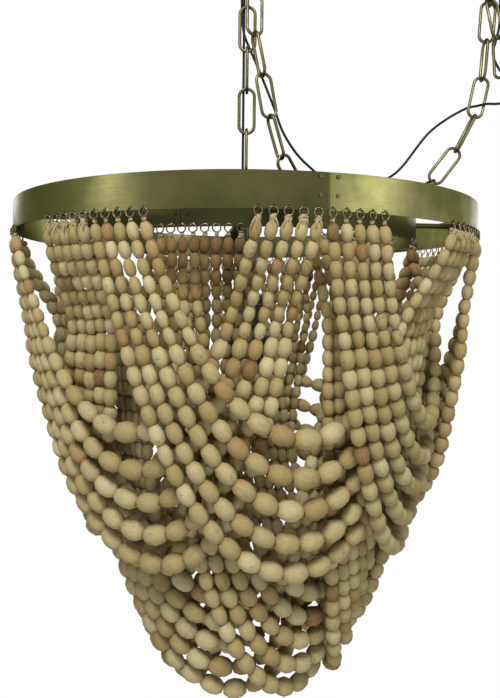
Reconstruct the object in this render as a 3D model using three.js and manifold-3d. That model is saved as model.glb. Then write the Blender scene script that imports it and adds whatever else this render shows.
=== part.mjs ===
// Beaded chandelier: two metal bands on four spokes carry tiers of bead swags, and hang from a
// ceiling hook by a chain. A second, slack chain and the supply cord run to a ceiling cup beside it.
// Millimetres, +Z up. The origin is the centre of the hook plate's top face, against the ceiling.
// Heights in the tables below are measured up from the outer band's bottom edge.
import * as THREE from 'three';
import { mergeVertices } from 'three/addons/utils/BufferGeometryUtils.js';
import Module from 'manifold-3d';

const wasm = await Module();
wasm.setup();

// Overall heights
const hangHeight = 355;
const gap = 0.3;
const groups = 8;
const ringsPerGroup = 10;
const strandsPerSwag = 5;

// Bands
const bandThick = 1.8;
const outerBand = { radius: 249, low: 0, high: 30, seam: 15, segments: 40 };
const innerBand = { radius: 187, low: -6, high: 24, seam: -17.5, segments: 34 };
const seamGap = 0.3;
const notchWidth = 17;
const notchFloor = 19.6;
const holeLow = 1.4;
const holeHigh = 5;
const holeWidth = 5.2;
const seamPlate = { thick: 1.2, halfAngle: 2.6, low: 7, high: 29 };
const seamRivet = { angle: 1.7, heights: [12, 26.6], shank: 1, hole: 1.3, head: 1.8, headHeight: 0.8 };

// Jump rings in the bands' bottom edges
const jumpRadius = 3.4;
const jumpWire = 0.55;
const jumpTurn = 45;
const swagAngle = 45;

// Bead swags: five strands to a swag, and each swag passes outside the next one on its left half
// and inside it on its right half, so that crossing strands never touch.
const outerSwag = {
  radius: 249, start: -9, azimuth: 14.3, halfAngle: 32.85, pitch: 2.7, drops: [185, 219, 249, 280, 310],
  shift: 17, fade: 105, small: 10.3, medium: 13, large: 19, smallRun: 100,
  stationShares: [-1, -0.7, -0.36, 0, 0.36, 0.7, 1],
  heights: [0, -9, -60, -112, -160, -212, -275, -310],
  radii: [249, 249, 245, 236, 227, 214, 195, 181],
};
const innerSwag = {
  radius: 187, start: -15, azimuth: -12.3, halfAngle: 46.6, pitch: 3.17, drops: [350, 377, 402, 430, 460],
  shift: 17.5, fade: 88, small: 10, medium: 12, large: 18.5, smallRun: 130,
  stationShares: [-1, -0.83, -0.57, -0.28, 0, 0.28, 0.57, 0.83, 1],
  heights: [0, -15, -60, -120, -180, -240, -300, -354, -404, -430, -460],
  radii: [187, 187, 184, 177, 169, 159, 148, 135, 120, 109, 91],
};
const strandFullShare = 0.72;
const knotRadius = 1.2;
const knotDrop = 3.7;
const tieDrops = [6.9, 5.6];
const shoulderRun = 4;

// Hub, spokes and lamp holder
const spoke = { count: 4, azimuth: 7, width: 16, low: 20, high: 24, inner: 8.7, tab: 17, rivetRadius: 12.8 };
const hubPlate = { radius: 18, bore: 3.9, thick: 2.3 };
const hubRivet = { shank: 1.5, hole: 1.8, head: 2.8, headHeight: 1 };
const tabRivet = { shank: 1.2, hole: 1.5, head: 2.4, headHeight: 1, depth: 1.2, heights: [8, 14] };
const clip = { width: 10, thick: 1.5, foot: 12, drop: 11, stud: 1.2, hole: 1.5, head: 2.4, headHeight: 1 };
const clipStudRadius = innerBand.radius - clip.foot + clip.width / 3;
const hubEye = { ring: 11, wire: 2, centre: 68.3, neck: 3.5, neckTop: 58, shankLow: 12.6 };
const nippleRadius = 3;
const nippleLow = 2;
const hubNut = { radius: 6.5, bore: 3.8, low: 12.6, high: 17.1 };
const hubGrip = { at: [-8.8, 8.8], outer: 4, bore: 1.9, low: 26.9, high: 35 };
const stemProfile = [[3.4, 12.3], [5, 12.3], [5, -57.6], [3.4, -57.6]];
const lockProfile = [[5.3, -48], [9, -48], [10, -49], [10, -57.3], [5.3, -57.3]];
const capProfile = [[5.3, -60.2], [8, -60.2], [19, -61], [21, -63], [21, -72], [16.5, -72], [16.5, -66],
  [3.6, -66], [3.6, -57.9], [5.3, -57.9]];
const bodyProfile = [[19, -72.3], [21, -72.3], [22, -74], [22, -139], [20.6, -140], [17, -140], [17, -76],
  [16, -76], [16, -72.3]];
const shadeRingProfile = [[22.4, -107], [25, -107], [31, -109], [31, -117], [25, -119], [22.4, -119]];
const insertProfile = [[0, -78], [15.6, -78], [15.6, -96], [14, -98], [0, -98]];
const shellProfile = [[13, -98.3], [15.4, -98.3], [15.4, -136], [16, -137.4], [14.6, -137.4], [14.2, -136],
  [14.2, -99.5], [13, -99.5]];
const contactProfile = [[0, -98.3], [4, -98.3], [4, -101], [2.5, -103], [0, -103]];

// Chains: wire links, long and narrow
const link = { half: 25.25, slackHalf: 24.8, bend: 8.7, wire: 1.8 };
const linkPitch = 46.6;
const linkArcSteps = 4;
const linkSides = 5;
const loadLinks = [240.55, 193.95, 147.35, 100.75];
const quickLink = { centre: 291.4, half: 29.5 };
const sleeve = { radius: 4, bore: 2.1, low: 285, high: 299 };
const swagRoute = [
  [8, 0, 319.8], [8, -12, 273], [8, -18, 227], [17.5, -18, 182], [26.2, -17, 136], [38.7, -13, 93.7],
  [60, 8, 60], [92, 32, 45], [132, 46, 40], [170, 50, 46], [202, 50, 59], [227.3, 50, 80],
  [255.8, 50, 118], [277, 50, 161], [286, 50.5, 205], [290, 52, 250], [294, 54, 296.9],
];
const swagTwists = [70, -20, 70, -20, 70, -20, 56, 132, 208, 284, 360, 90, 0, 90, 0];
const spareRoute = [[294, 46, 296.9], [301.5, 41, 250.8], [304, 40, 204]];
const spareTwists = [-25, 62];
const pitchSpread = 3;

// Hooks, ceiling plate and ceiling cup
const hookWire = 2;
const hookBend = 12;
const hookShift = 4;
const hookDrop = 24.3;
const hookKink = -16;
const hookTip = [13, 4.5];
const plateProfile = [[2.3, -0.7], [0, -0.7], [0, 0], [17, 0], [17, -2], [16, -3], [2.3, -3]];
const cup = { x: 294, y: 54 };
const cupProfile = [[40, 0], [50, 0], [50, -15], [47, -20], [38, -23.5], [22, -25], [2.4, -25], [2.4, -23.6],
  [21.5, -23.6], [37, -22.2], [45.6, -19], [48.6, -14.5], [48.6, -1.4], [40, -1.4]];
const cupHoleAt = [14, 0];
const cupHole = 3.6;
const cupHook = { drop: 50, top: -15 };
const cupNut = { radius: 5.5, bore: 2.3, low: -23.3, high: -19 };
const cordGripProfile = [[1.9, -32], [4.2, -32], [5, -31], [5, -25.3], [3.3, -25.3], [3.3, -20], [1.9, -20]];

// Supply cord
const cordRadius = 1.5;
const cordSides = 5;
const cordCorner = 3.9;
const riserHigh = 261.4;
const riserLow = 73.3;
const riserSteps = 24;
const topCordRoute = [
  [-3.9, -4.2, 315.9], [-3.9, -3.9, 304], [-3.9, 0, 292], [-3.9, 3.9, 279], [-3.9, 3.9, 262.1],
];
const topCordSteps = 10;
const hubCordRoute = [[-3.9, 3.9, 73], [-3.9, 3.9, 64], [-6.6, 6.6, 50], [-8.8, 8.8, 38], [-8.8, 8.8, 28.5]];
const hubCordSteps = 9;
const swagCordRoute = [
  [-3.9, -4.2, 316.6], [-3.9, -4.2, 322], [-3.3, 0, 327.2], [-4.3, 5, 321], [-6, 9, 303], [-6.7, 13, 280],
  [-4.4, 17, 244.6], [1.4, 18, 228.7], [10.8, 18, 207.7], [18.8, 18, 189], [32.9, 19, 154.4], [42.3, 20, 130],
  [58.7, 21, 104.6], [76.4, 22, 87.4], [100, 25, 70.5], [124, 28, 66], [151, 32, 71], [174.4, 36, 83],
  [185.6, 38, 93], [219.5, 45, 136], [243, 52, 155], [262, 55, 166.5], [271, 55, 170.6], [280, 51.5, 171.6],
  [289, 45.4, 172.3], [303, 45, 172.5], [320, 47, 177], [327, 50, 190], [320, 54, 205], [308.5, 56.5, 218.5],
  [301, 57.5, 238], [304.5, 57.5, 253], [308, 56, 272], [308, 54, 300], [308, 54, 330],
];
const swagCordSteps = 64;

// Round pieces
const fineSteps = 16;
const smallSteps = 6;
const rivetSteps = 6;

const lift = (height) => height - hangHeight;
const degrees = THREE.MathUtils.degToRad;
const place = (radius, azimuth, height) => new THREE.Vector3(
  radius * Math.sin(azimuth), -radius * Math.cos(azimuth), height);

const brass = { color: 0x7f7c52, metalness: 0.9, roughness: 0.42 };
const darkBrass = { color: 0x6b6747, metalness: 0.9, roughness: 0.5 };
const chainBrass = { color: 0x78744f, metalness: 0.9, roughness: 0.45 };
const wood = { color: 0xbfa67a, metalness: 0, roughness: 0.75 };
const black = { color: 0x17171a, metalness: 0, roughness: 0.5 };
const china = { color: 0xe6e1d6, metalness: 0, roughness: 0.35 };

const chandelier = new THREE.Group();
chandelier.name = 'beaded_chandelier';

function addPiece(name, geometry, finish) {
  const piece = new THREE.Mesh(geometry, new THREE.MeshStandardMaterial(finish));
  piece.name = name;
  chandelier.add(piece);
}

// Welds a geometry, drops triangles without area and turns it the right way out.
function closedGeometry(source) {
  const plain = source.clone();
  plain.deleteAttribute('normal');
  plain.deleteAttribute('uv');
  const welded = mergeVertices(plain, tolerance);
  const index = [];
  let volume = 0;
  const a = new THREE.Vector3();
  const b = new THREE.Vector3();
  const c = new THREE.Vector3();
  const corners = welded.index.array;
  for (let i = 0; i < corners.length; i += 3) {
    const [p, q, r] = [corners[i], corners[i + 1], corners[i + 2]];
    if (p === q || q === r || r === p) continue;
    index.push(p, q, r);
    a.fromBufferAttribute(welded.attributes.position, p);
    b.fromBufferAttribute(welded.attributes.position, q);
    c.fromBufferAttribute(welded.attributes.position, r);
    volume += a.dot(b.cross(c));
  }
  if (volume < 0) index.reverse();
  welded.setIndex(index);
  return welded;
}

function asSolid(source) {
  const geometry = closedGeometry(source);
  return new wasm.Manifold(new wasm.Mesh({
    numProp: 3,
    vertProperties: new Float32Array(geometry.attributes.position.array),
    triVerts: new Uint32Array(geometry.index.array),
  }));
}

function asGeometry(solid) {
  const mesh = solid.getMesh();
  const geometry = new THREE.BufferGeometry();
  geometry.setAttribute('position', new THREE.BufferAttribute(new Float32Array(mesh.vertProperties), 3));
  geometry.setIndex(new THREE.BufferAttribute(new Uint32Array(mesh.triVerts), 1));
  return geometry;
}

function cut(base, tools) {
  let solid = asSolid(base);
  for (const tool of tools) solid = solid.subtract(asSolid(tool));
  return asGeometry(solid);
}

function joined(parts) {
  let solid = asSolid(parts[0]);
  for (const part of parts.slice(1)) solid = solid.add(asSolid(part));
  return asGeometry(solid);
}

const tolerance = 0.0005;

// A round piece turned about the vertical, from a closed profile of radius and height.
function turned(profile, steps, x = 0, y = 0) {
  const outline = [...profile, profile[0]].map(([radius, height]) => new THREE.Vector2(radius, height));
  const geometry = new THREE.LatheGeometry(outline, steps);
  geometry.rotateX(Math.PI / 2);
  geometry.translate(x, y, 0);
  return closedGeometry(geometry);
}

const lifted = (profile) => profile.map(([radius, height]) => [radius, lift(height)]);

// A straight round bar between two points.
function rod(from, to, radius, steps) {
  const along = to.clone().sub(from);
  const geometry = new THREE.CylinderGeometry(radius, radius, along.length(), steps);
  geometry.translate(0, along.length() / 2, 0);
  const turn = new THREE.Quaternion().setFromUnitVectors(new THREE.Vector3(0, 1, 0), along.normalize());
  geometry.applyQuaternion(turn);
  geometry.translate(from.x, from.y, from.z);
  return closedGeometry(geometry);
}

function tubeFaces(rings, sides, closed) {
  const points = [];
  const index = [];
  rings.forEach((ring) => ring.forEach((p) => points.push(p.x, p.y, p.z)));
  const last = closed ? rings.length : rings.length - 1;
  for (let i = 0; i < last; i += 1) {
    const here = i * sides;
    const next = ((i + 1) % rings.length) * sides;
    for (let k = 0; k < sides; k += 1) {
      const m = (k + 1) % sides;
      index.push(here + k, next + k, next + m, here + k, next + m, here + m);
    }
  }
  if (!closed) {
    const end = (rings.length - 1) * sides;
    for (let k = 1; k < sides - 1; k += 1) {
      index.push(0, k, k + 1);
      index.push(end, end + k + 1, end + k);
    }
  }
  const geometry = new THREE.BufferGeometry();
  geometry.setAttribute('position', new THREE.Float32BufferAttribute(points, 3));
  geometry.setIndex(index);
  return closedGeometry(geometry);
}

// A tube through open points, one radius to a point.
function runTube(points, radii, sides) {
  const rings = [];
  let side = null;
  points.forEach((point, i) => {
    const before = points[Math.max(i - 1, 0)];
    const after = points[Math.min(i + 1, points.length - 1)];
    const along = after.clone().sub(before).normalize();
    if (!side) {
      const across = Math.abs(along.z) > Math.SQRT1_2 ? new THREE.Vector3(1, 0, 0) : new THREE.Vector3(0, 0, 1);
      side = across.sub(along.clone().multiplyScalar(across.dot(along))).normalize();
    } else {
      side = side.clone().sub(along.clone().multiplyScalar(side.dot(along))).normalize();
    }
    const up = along.clone().cross(side);
    const ring = [];
    for (let k = 0; k < sides; k += 1) {
      const turn = (2 * Math.PI * (k + 1 / 2)) / sides;
      ring.push(point.clone().addScaledVector(side, radii[i] * Math.cos(turn))
        .addScaledVector(up, radii[i] * Math.sin(turn)));
    }
    rings.push(ring);
  });
  return tubeFaces(rings, sides, false);
}

// A tube round a closed flat loop.
function loopTube(points, normal, radius, sides) {
  const rings = points.map((point, i) => {
    const before = points[(i + points.length - 1) % points.length];
    const after = points[(i + 1) % points.length];
    const along = after.clone().sub(before).normalize();
    const out = along.clone().cross(normal).normalize();
    const ring = [];
    for (let k = 0; k < sides; k += 1) {
      const turn = (2 * Math.PI * k) / sides;
      ring.push(point.clone().addScaledVector(out, radius * Math.cos(turn))
        .addScaledVector(normal, radius * Math.sin(turn)));
    }
    return ring;
  });
  return tubeFaces(rings, sides, true);
}

// A long link between its two end points, its flat side turned by the twist from facing the front.
function chainLink(centre, along, twist, half) {
  const front = new THREE.Vector3(0, 1, 0);
  front.addScaledVector(along, -front.dot(along)).normalize();
  const wide = along.clone().cross(front).negate();
  const turn = degrees(twist);
  const width = wide.clone().multiplyScalar(Math.cos(turn)).addScaledVector(front, -Math.sin(turn));
  const normal = along.clone().cross(width).normalize();
  const points = [];
  for (const end of [1, -1]) {
    for (let i = 0; i <= linkArcSteps; i += 1) {
      const angle = (Math.PI * i) / linkArcSteps;
      points.push(centre.clone().addScaledVector(width, end * link.bend * Math.cos(angle))
        .addScaledVector(along, end * (half - link.bend + link.bend * Math.sin(angle))));
    }
  }
  return loopTube(points, normal, link.wire, linkSides);
}

function routeCurve(route) {
  const places = route.map(([x, y, z]) => new THREE.Vector3(x, y, lift(z)));
  return new THREE.CatmullRomCurve3(places, false, 'centripetal');
}

// Joints of a chain: equal chords walked along its route.
function walk(curve, pitch, count) {
  const fine = 4000;
  const samples = curve.getPoints(fine);
  const joints = [samples[0]];
  let from = 0;
  for (let n = 0; n < count; n += 1) {
    while (from < fine && samples[from].distanceTo(joints[n]) < pitch) from += 1;
    if (from >= fine) return { joints, left: -1 };
    const short = samples[from - 1].distanceTo(joints[n]);
    const long = samples[from].distanceTo(joints[n]);
    joints.push(samples[from - 1].clone().lerp(samples[from], (pitch - short) / (long - short)));
  }
  return { joints, left: samples[fine].distanceTo(joints[count]) };
}

// The pitch at which a whole number of links just reaches the route's end.
function fittedJoints(route, count) {
  const curve = routeCurve(route);
  let low = linkPitch - pitchSpread;
  let high = linkPitch + pitchSpread;
  for (let i = 0; i < 40; i += 1) {
    const middle = (low + high) / 2;
    if (walk(curve, middle, count).left < 0) high = middle;
    else low = middle;
  }
  return walk(curve, low, count).joints;
}

function chain(joints, twists) {
  return twists.map((twist, i) => {
    const along = joints[i].clone().sub(joints[i + 1]).normalize();
    const centre = joints[i].clone().add(joints[i + 1]).multiplyScalar(1 / 2);
    return chainLink(centre, along, twist, link.slackHalf);
  });
}

// A strap bent to a cylinder, between two azimuths.
function strap(radius, thick, low, high, from, to, segments) {
  const rings = [];
  for (let i = 0; i <= segments; i += 1) {
    const azimuth = from + ((to - from) * i) / segments;
    rings.push([
      place(radius - thick / 2, azimuth, lift(low)), place(radius + thick / 2, azimuth, lift(low)),
      place(radius + thick / 2, azimuth, lift(high)), place(radius - thick / 2, azimuth, lift(high)),
    ]);
  }
  return tubeFaces(rings, rings[0].length, false);
}

// A block set out from the axis: radius of its centre, azimuth, and its three sizes.
function radialBlock(radius, azimuth, low, high, depth, width) {
  const block = new THREE.BoxGeometry(width, depth, high - low);
  block.translate(0, -radius, lift((low + high) / 2));
  block.rotateZ(azimuth);
  return closedGeometry(block);
}

function groupAzimuths(swag) {
  const azimuths = [];
  for (let g = 0; g < groups; g += 1) {
    for (let k = 0; k < ringsPerGroup; k += 1) {
      azimuths.push(degrees(swag.azimuth + (360 * g) / groups + (k - (ringsPerGroup - 1) / 2) * swag.pitch));
    }
  }
  return azimuths;
}

function spokeAzimuths() {
  return Array.from({ length: spoke.count }, (_, n) => degrees(spoke.azimuth + (360 * n) / spoke.count));
}

// The strap's facets stand a little inside its corners: the true radius of its middle at an azimuth
function facets(band) {
  const half = seamGap / 2 / band.radius;
  const start = degrees(band.seam) + half;
  return { start, end: start + 2 * (Math.PI - half), step: (2 * (Math.PI - half)) / band.segments };
}

function wallRadius(band, azimuth) {
  const { start, step } = facets(band);
  const turn = 2 * Math.PI;
  const from = (((azimuth - start) % turn) + turn) % turn;
  return (band.radius * Math.cos(step / 2)) / Math.cos((from % step) - step / 2);
}

const innerWall = (band) => (band.radius - bandThick / 2) * Math.cos(facets(band).step / 2) - gap;

// Bands, with a square hole for each jump ring
function bandRing(band, swag, notched) {
  const seam = degrees(band.seam);
  const { start, end } = facets(band);
  const ring = strap(band.radius, bandThick, band.low, band.high, start, end, band.segments);
  const tools = groupAzimuths(swag).map((azimuth) => radialBlock(
    band.radius, azimuth, band.low + holeLow, band.low + holeHigh, 4 * bandThick, holeWidth));
  for (const azimuth of spokeAzimuths()) {
    if (notched) {
      tools.push(radialBlock(band.radius, azimuth, notchFloor, band.high + bandThick, 4 * bandThick, notchWidth));
    } else {
      for (const height of tabRivet.heights) {
        const outer = band.radius - bandThick / 2 + tabRivet.depth;
        tools.push(rod(place(outer - 4 * tabRivet.depth, azimuth, lift(height)), place(outer, azimuth, lift(height)),
          tabRivet.hole, rivetSteps));
      }
    }
  }
  for (const side of [-1, 1]) {
    for (const height of seamRivet.heights) {
      const azimuth = seam + side * degrees(seamRivet.angle);
      tools.push(rod(place(band.radius - 3 * bandThick, azimuth, lift(band.low + height)),
        place(band.radius + 3 * bandThick, azimuth, lift(band.low + height)), seamRivet.hole, rivetSteps));
    }
  }
  const cutRing = cut(ring, tools);
  return notched ? joined([cutRing, ...bandClips()]) : cutRing;
}

// Angle clips on the inner band: each has a foot under a spoke and a stud up through it
function bandClips() {
  const parts = [];
  for (const azimuth of spokeAzimuths()) {
    const wall = innerBand.radius;
    const top = spoke.low - gap;
    const at = place(clipStudRadius, azimuth, 0);
    const level = (height) => new THREE.Vector3(at.x, at.y, lift(height));
    parts.push(radialBlock(wall - clip.foot / 2, azimuth, top - clip.thick, top, clip.foot, clip.width));
    const leg = wall - bandThick / 2 - clip.thick / 2 + gap;
    const seat = spoke.high + gap;
    parts.push(radialBlock(leg, azimuth, top - clip.drop, top, clip.thick, clip.width));
    parts.push(rod(level(top - clip.thick / 2), level(seat + clip.headHeight / 2), clip.stud, rivetSteps));
    parts.push(rod(level(seat), level(seat + clip.headHeight), clip.head, rivetSteps));
  }
  return parts;
}

function seamPlatePiece(band) {
  const seam = degrees(band.seam);
  const face = band.radius + bandThick / 2;
  const radius = innerWall(band) - seamPlate.thick / 2;
  const half = degrees(seamPlate.halfAngle);
  const parts = [strap(radius, seamPlate.thick, band.low + seamPlate.low, band.low + seamPlate.high - bandThick,
    seam - half, seam + half, 4)];
  for (const side of [-1, 1]) {
    for (const height of seamRivet.heights) {
      const azimuth = seam + side * degrees(seamRivet.angle);
      const z = lift(band.low + height);
      parts.push(rod(place(radius, azimuth, z), place(face + gap + seamRivet.headHeight / 2, azimuth, z),
        seamRivet.shank, rivetSteps));
      parts.push(rod(place(face + gap, azimuth, z), place(face + gap + seamRivet.headHeight, azimuth, z),
        seamRivet.head, rivetSteps));
    }
  }
  return joined(parts);
}

addPiece('outer_band', bandRing(outerBand, outerSwag, false), brass);
addPiece('inner_band', bandRing(innerBand, innerSwag, true), darkBrass);
addPiece('outer_seam_plate', seamPlatePiece(outerBand), darkBrass);
addPiece('inner_seam_plate', seamPlatePiece(innerBand), darkBrass);

// Bead strands
function profileRadius(swag, height) {
  const { heights, radii } = swag;
  let i = 0;
  while (i < heights.length - 2 && height < heights[i + 1]) i += 1;
  const slope = (n) => {
    if (n <= 0 || n >= heights.length - 1) return (radii[1] - radii[0]) / (heights[1] - heights[0]);
    return (radii[n + 1] - radii[n - 1]) / (heights[n + 1] - heights[n - 1]);
  };
  const endSlope = (n) => (n >= heights.length - 1
    ? (radii[n] - radii[n - 1]) / (heights[n] - heights[n - 1]) : slope(n));
  const step = heights[i + 1] - heights[i];
  const t = (height - heights[i]) / step;
  const t2 = t * t;
  const t3 = t2 * t;
  return (2 * t3 - 3 * t2 + 1) * radii[i] + (t3 - 2 * t2 + t) * step * endSlope(i)
    + (3 * t2 - 2 * t3) * radii[i + 1] + (t3 - t2) * step * endSlope(i + 1);
}

function catenary(span, drop) {
  let low = span / 16;
  let high = span * 8;
  for (let i = 0; i < 60; i += 1) {
    const c = (low + high) / 2;
    if (c * (Math.cosh(span / c) - 1) > drop) low = c;
    else high = c;
  }
  return (low + high) / 2;
}

// The strand's stations: its places from its left end to its right end, with a radius for each
function strandStations(swag, middle, row) {
  const half = degrees(swag.halfAngle + swag.pitch * row);
  const plane = swag.radius * Math.cos(half);
  const span = swag.radius * Math.sin(half);
  const drop = swag.drops[row];
  const c = catenary(span, drop + swag.start);
  const reach = c * Math.sinh(span / c);
  return swag.stationShares.map((share) => {
    const along = Math.max(-reach + shoulderRun, Math.min(reach - shoulderRun, share * reach));
    const x = c * Math.asinh(along / c);
    const height = -drop + c * (Math.cosh(x / c) - 1);
    const phi = Math.atan2(x, plane);
    const fall = Math.min(Math.max((swag.start - height) / (swag.fade + swag.start), 0), 1);
    const fade = fall * fall * (3 - 2 * fall);
    const radius = profileRadius(swag, height) - swag.shift * fade * (phi / degrees(swagAngle));
    const run = reach - Math.abs(along);
    const grow = Math.min(Math.max((run - swag.smallRun) / (reach - swag.smallRun), 0), 1);
    const bead = run < swag.smallRun ? swag.small : swag.medium + (swag.large - swag.medium) * grow ** 1.5;
    return { at: place(radius, middle + phi, lift(height)), radius: (strandFullShare * bead) / 2 };
  });
}

// Four corners round a point, the first along the given direction, turning about the way the tube runs
function fourCorners(at, along, first, radius) {
  const second = along.clone().cross(first);
  return [at.clone().addScaledVector(first, radius), at.clone().addScaledVector(second, radius),
    at.clone().addScaledVector(first, -radius), at.clone().addScaledVector(second, -radius)];
}

// One swag as a single surface: its strands, a jump ring grown from the knot at each strand's ends and hung
// through its square hole, and the short threads that tie the right-hand knots together.
function swagPiece(band, swag, bay) {
  const points = [];
  const index = [];
  const up = new THREE.Vector3(0, 0, 1);
  const down = new THREE.Vector3(0, 0, -1);
  const middle = degrees(swag.azimuth + (360 * bay) / groups);

  const keep = (ring) => ring.map((p) => points.push(p.x, p.y, p.z) / 3 - 1);
  const quad = (a, b, c, d) => index.push(a, b, c, a, c, d);
  const wall = (here, next, open = []) => here.forEach((_, k) => {
    const m = (k + 1) % here.length;
    if (!open.includes(k)) quad(here[k], next[k], next[m], here[m]);
  });

  // The jump ring runs out of one half of the knot's end, round, and back into the other half.
  function jumpRing(knot, azimuth, first, second, rising) {
    const centre = place(wallRadius(band, azimuth), azimuth, lift(band.low));
    const angles = [-3, -1, 1, 3].map((n) => Math.PI / 2 + (n * Math.PI) / 4);
    const rings = angles.map((angle) => {
      const out = second.clone().multiplyScalar(Math.cos(angle)).addScaledVector(up, Math.sin(angle));
      const at = centre.clone().addScaledVector(out, jumpRadius);
      const back = at.clone().addScaledVector(out, -jumpWire / 2);
      const reach = (jumpWire * Math.sqrt(3)) / 2;
      return keep([back.clone().addScaledVector(first, reach), at.clone().addScaledVector(out, jumpWire),
        back.clone().addScaledVector(first, -reach)]);
    });
    const [a, b, c, d] = knot;
    const ends = rising ? [[a, b, c], [a, d, c]] : [[a, d, c], [a, b, c]];
    const order = rising ? rings : [...rings].reverse();
    const run = [ends[0], ...order, ends[1]];
    for (let i = 0; i < run.length - 1; i += 1) wall(run[i], run[i + 1]);
  }

  const nearest = (ring, previous) => {
    let best = 0;
    let least = Infinity;
    for (let turn = 0; turn < ring.length; turn += 1) {
      const sum = previous.reduce((total, corner, k) => total + ring[(k + turn) % ring.length].distanceTo(corner), 0);
      if (sum < least) [best, least] = [turn, sum];
    }
    return ring.map((_, k) => ring[(k + best) % ring.length]);
  };

  const tied = [];
  for (let row = 0; row < strandsPerSwag; row += 1) {
    const half = degrees(swag.halfAngle + swag.pitch * row);
    const stations = strandStations(swag, middle, row);
    const knotAt = (azimuth, fall) => place(wallRadius(band, azimuth), azimuth, lift(band.low - fall));
    const left = middle - half;
    const right = middle + half;
    const leftFirst = place(1, left + degrees(jumpTurn), 0);
    const rightFirst = place(1, right + degrees(jumpTurn), 0);
    let corners = fourCorners(knotAt(left, knotDrop), down, leftFirst, knotRadius);
    let here = keep(corners);
    jumpRing(here, left, leftFirst, down.clone().cross(leftFirst), false);
    stations.forEach(({ at, radius }, i) => {
      const before = i > 0 ? stations[i - 1].at : knotAt(left, knotDrop);
      const after = i < stations.length - 1 ? stations[i + 1].at : knotAt(right, knotDrop);
      const along = after.clone().sub(before).normalize();
      const outward = new THREE.Vector3(at.x, at.y, 0).normalize();
      const first = outward.addScaledVector(along, -outward.dot(along)).normalize();
      corners = nearest(fourCorners(at, along, first, radius), corners);
      const next = keep(corners);
      wall(here, next);
      here = next;
    });
    const rings = tieDrops.map((fall) => fourCorners(knotAt(right, fall), up, rightFirst, knotRadius));
    const target = nearest(corners, rings[0]);
    const shift = corners.findIndex((corner) => corner === target[0]);
    here = here.map((_, k) => here[(k + shift) % here.length]);
    const [lower, upper] = rings.map(keep);
    wall(here, lower);
    wall(lower, upper, [...(row < strandsPerSwag - 1 ? [0] : []), ...(row > 0 ? [2] : [])]);
    const end = keep(fourCorners(knotAt(right, knotDrop), up, rightFirst, knotRadius));
    wall(upper, end);
    jumpRing(end, right, rightFirst, up.clone().cross(rightFirst), true);
    tied.push([lower, upper]);
  }
  for (let row = 0; row < strandsPerSwag - 1; row += 1) {
    const [lower, upper] = tied[row];
    const [nextLower, nextUpper] = tied[row + 1];
    const from = [lower[0], upper[0], upper[1], lower[1]];
    const to = [nextLower[3], nextUpper[3], nextUpper[2], nextLower[2]];
    from.forEach((_, k) => {
      const m = (k + 1) % from.length;
      quad(from[k], from[m], to[m], to[k]);
    });
  }
  const geometry = new THREE.BufferGeometry();
  geometry.setAttribute('position', new THREE.Float32BufferAttribute(points, 3));
  geometry.setIndex(index);
  return closedGeometry(geometry);
}

for (const [tier, band, swag] of [['outer', outerBand, outerSwag], ['inner', innerBand, innerSwag]]) {
  for (let bay = 0; bay < groups; bay += 1) {
    addPiece(`${tier}_swag_${bay + 1}`, swagPiece(band, swag, bay), wood);
  }
}

// Spokes: a bar with its end bent down against the outer band, and two rivets out into the band
function spokeBar(azimuth) {
  const wall = Math.sqrt(innerWall(outerBand) ** 2 - (spoke.width / 2) ** 2);
  const thick = (spoke.high - spoke.low) / 2;
  const parts = [
    radialBlock((spoke.inner + wall) / 2, azimuth, spoke.low, spoke.high, wall - spoke.inner, spoke.width),
    radialBlock(wall - thick / 2, azimuth, spoke.high - spoke.tab, spoke.high - gap, thick, spoke.width),
  ];
  for (const height of tabRivet.heights) {
    const back = wall - thick;
    parts.push(rod(place(back, azimuth, lift(height)), place(wall + tabRivet.depth, azimuth, lift(height)),
      tabRivet.shank, rivetSteps));
    parts.push(rod(place(back - tabRivet.headHeight, azimuth, lift(height)), place(back + gap, azimuth, lift(height)),
      tabRivet.head, rivetSteps));
  }
  const holes = [[spoke.rivetRadius, hubRivet.hole], [clipStudRadius, clip.hole]].map(([radius, hole]) => {
    const at = place(radius, azimuth, 0);
    return rod(new THREE.Vector3(at.x, at.y, lift(spoke.low - spoke.tab)),
      new THREE.Vector3(at.x, at.y, lift(spoke.high + spoke.tab)), hole, smallSteps);
  });
  return cut(joined(parts), holes);
}

spokeAzimuths().forEach((azimuth, n) => addPiece(`spoke_${n + 1}`, spokeBar(azimuth), darkBrass));

function hubDisc(low) {
  const profile = [[hubPlate.bore, low], [hubPlate.radius, low], [hubPlate.radius, low + hubPlate.thick],
    [hubPlate.bore, low + hubPlate.thick]];
  return turned(lifted(profile), fineSteps);
}

const topPlateLow = spoke.high + gap;
const bottomPlateLow = spoke.low - gap - hubPlate.thick;
const hubStuds = [];
const hubHoles = [];
for (const azimuth of spokeAzimuths()) {
  const at = place(spoke.rivetRadius, azimuth, 0);
  const high = topPlateLow + hubPlate.thick + gap;
  const level = (height) => new THREE.Vector3(at.x, at.y, lift(height));
  const studTop = high + hubRivet.headHeight / 2;
  hubStuds.push(rod(level(bottomPlateLow + gap), level(studTop), hubRivet.shank, smallSteps));
  hubStuds.push(rod(level(high), level(high + hubRivet.headHeight), hubRivet.head, smallSteps));
  hubHoles.push(rod(level(topPlateLow - spoke.tab), level(high + spoke.tab), hubRivet.hole, smallSteps));
}
addPiece('hub_top_plate', cut(hubDisc(topPlateLow), hubHoles), darkBrass);
addPiece('hub_bottom_plate', joined([hubDisc(bottomPlateLow), ...hubStuds]), darkBrass);

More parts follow.
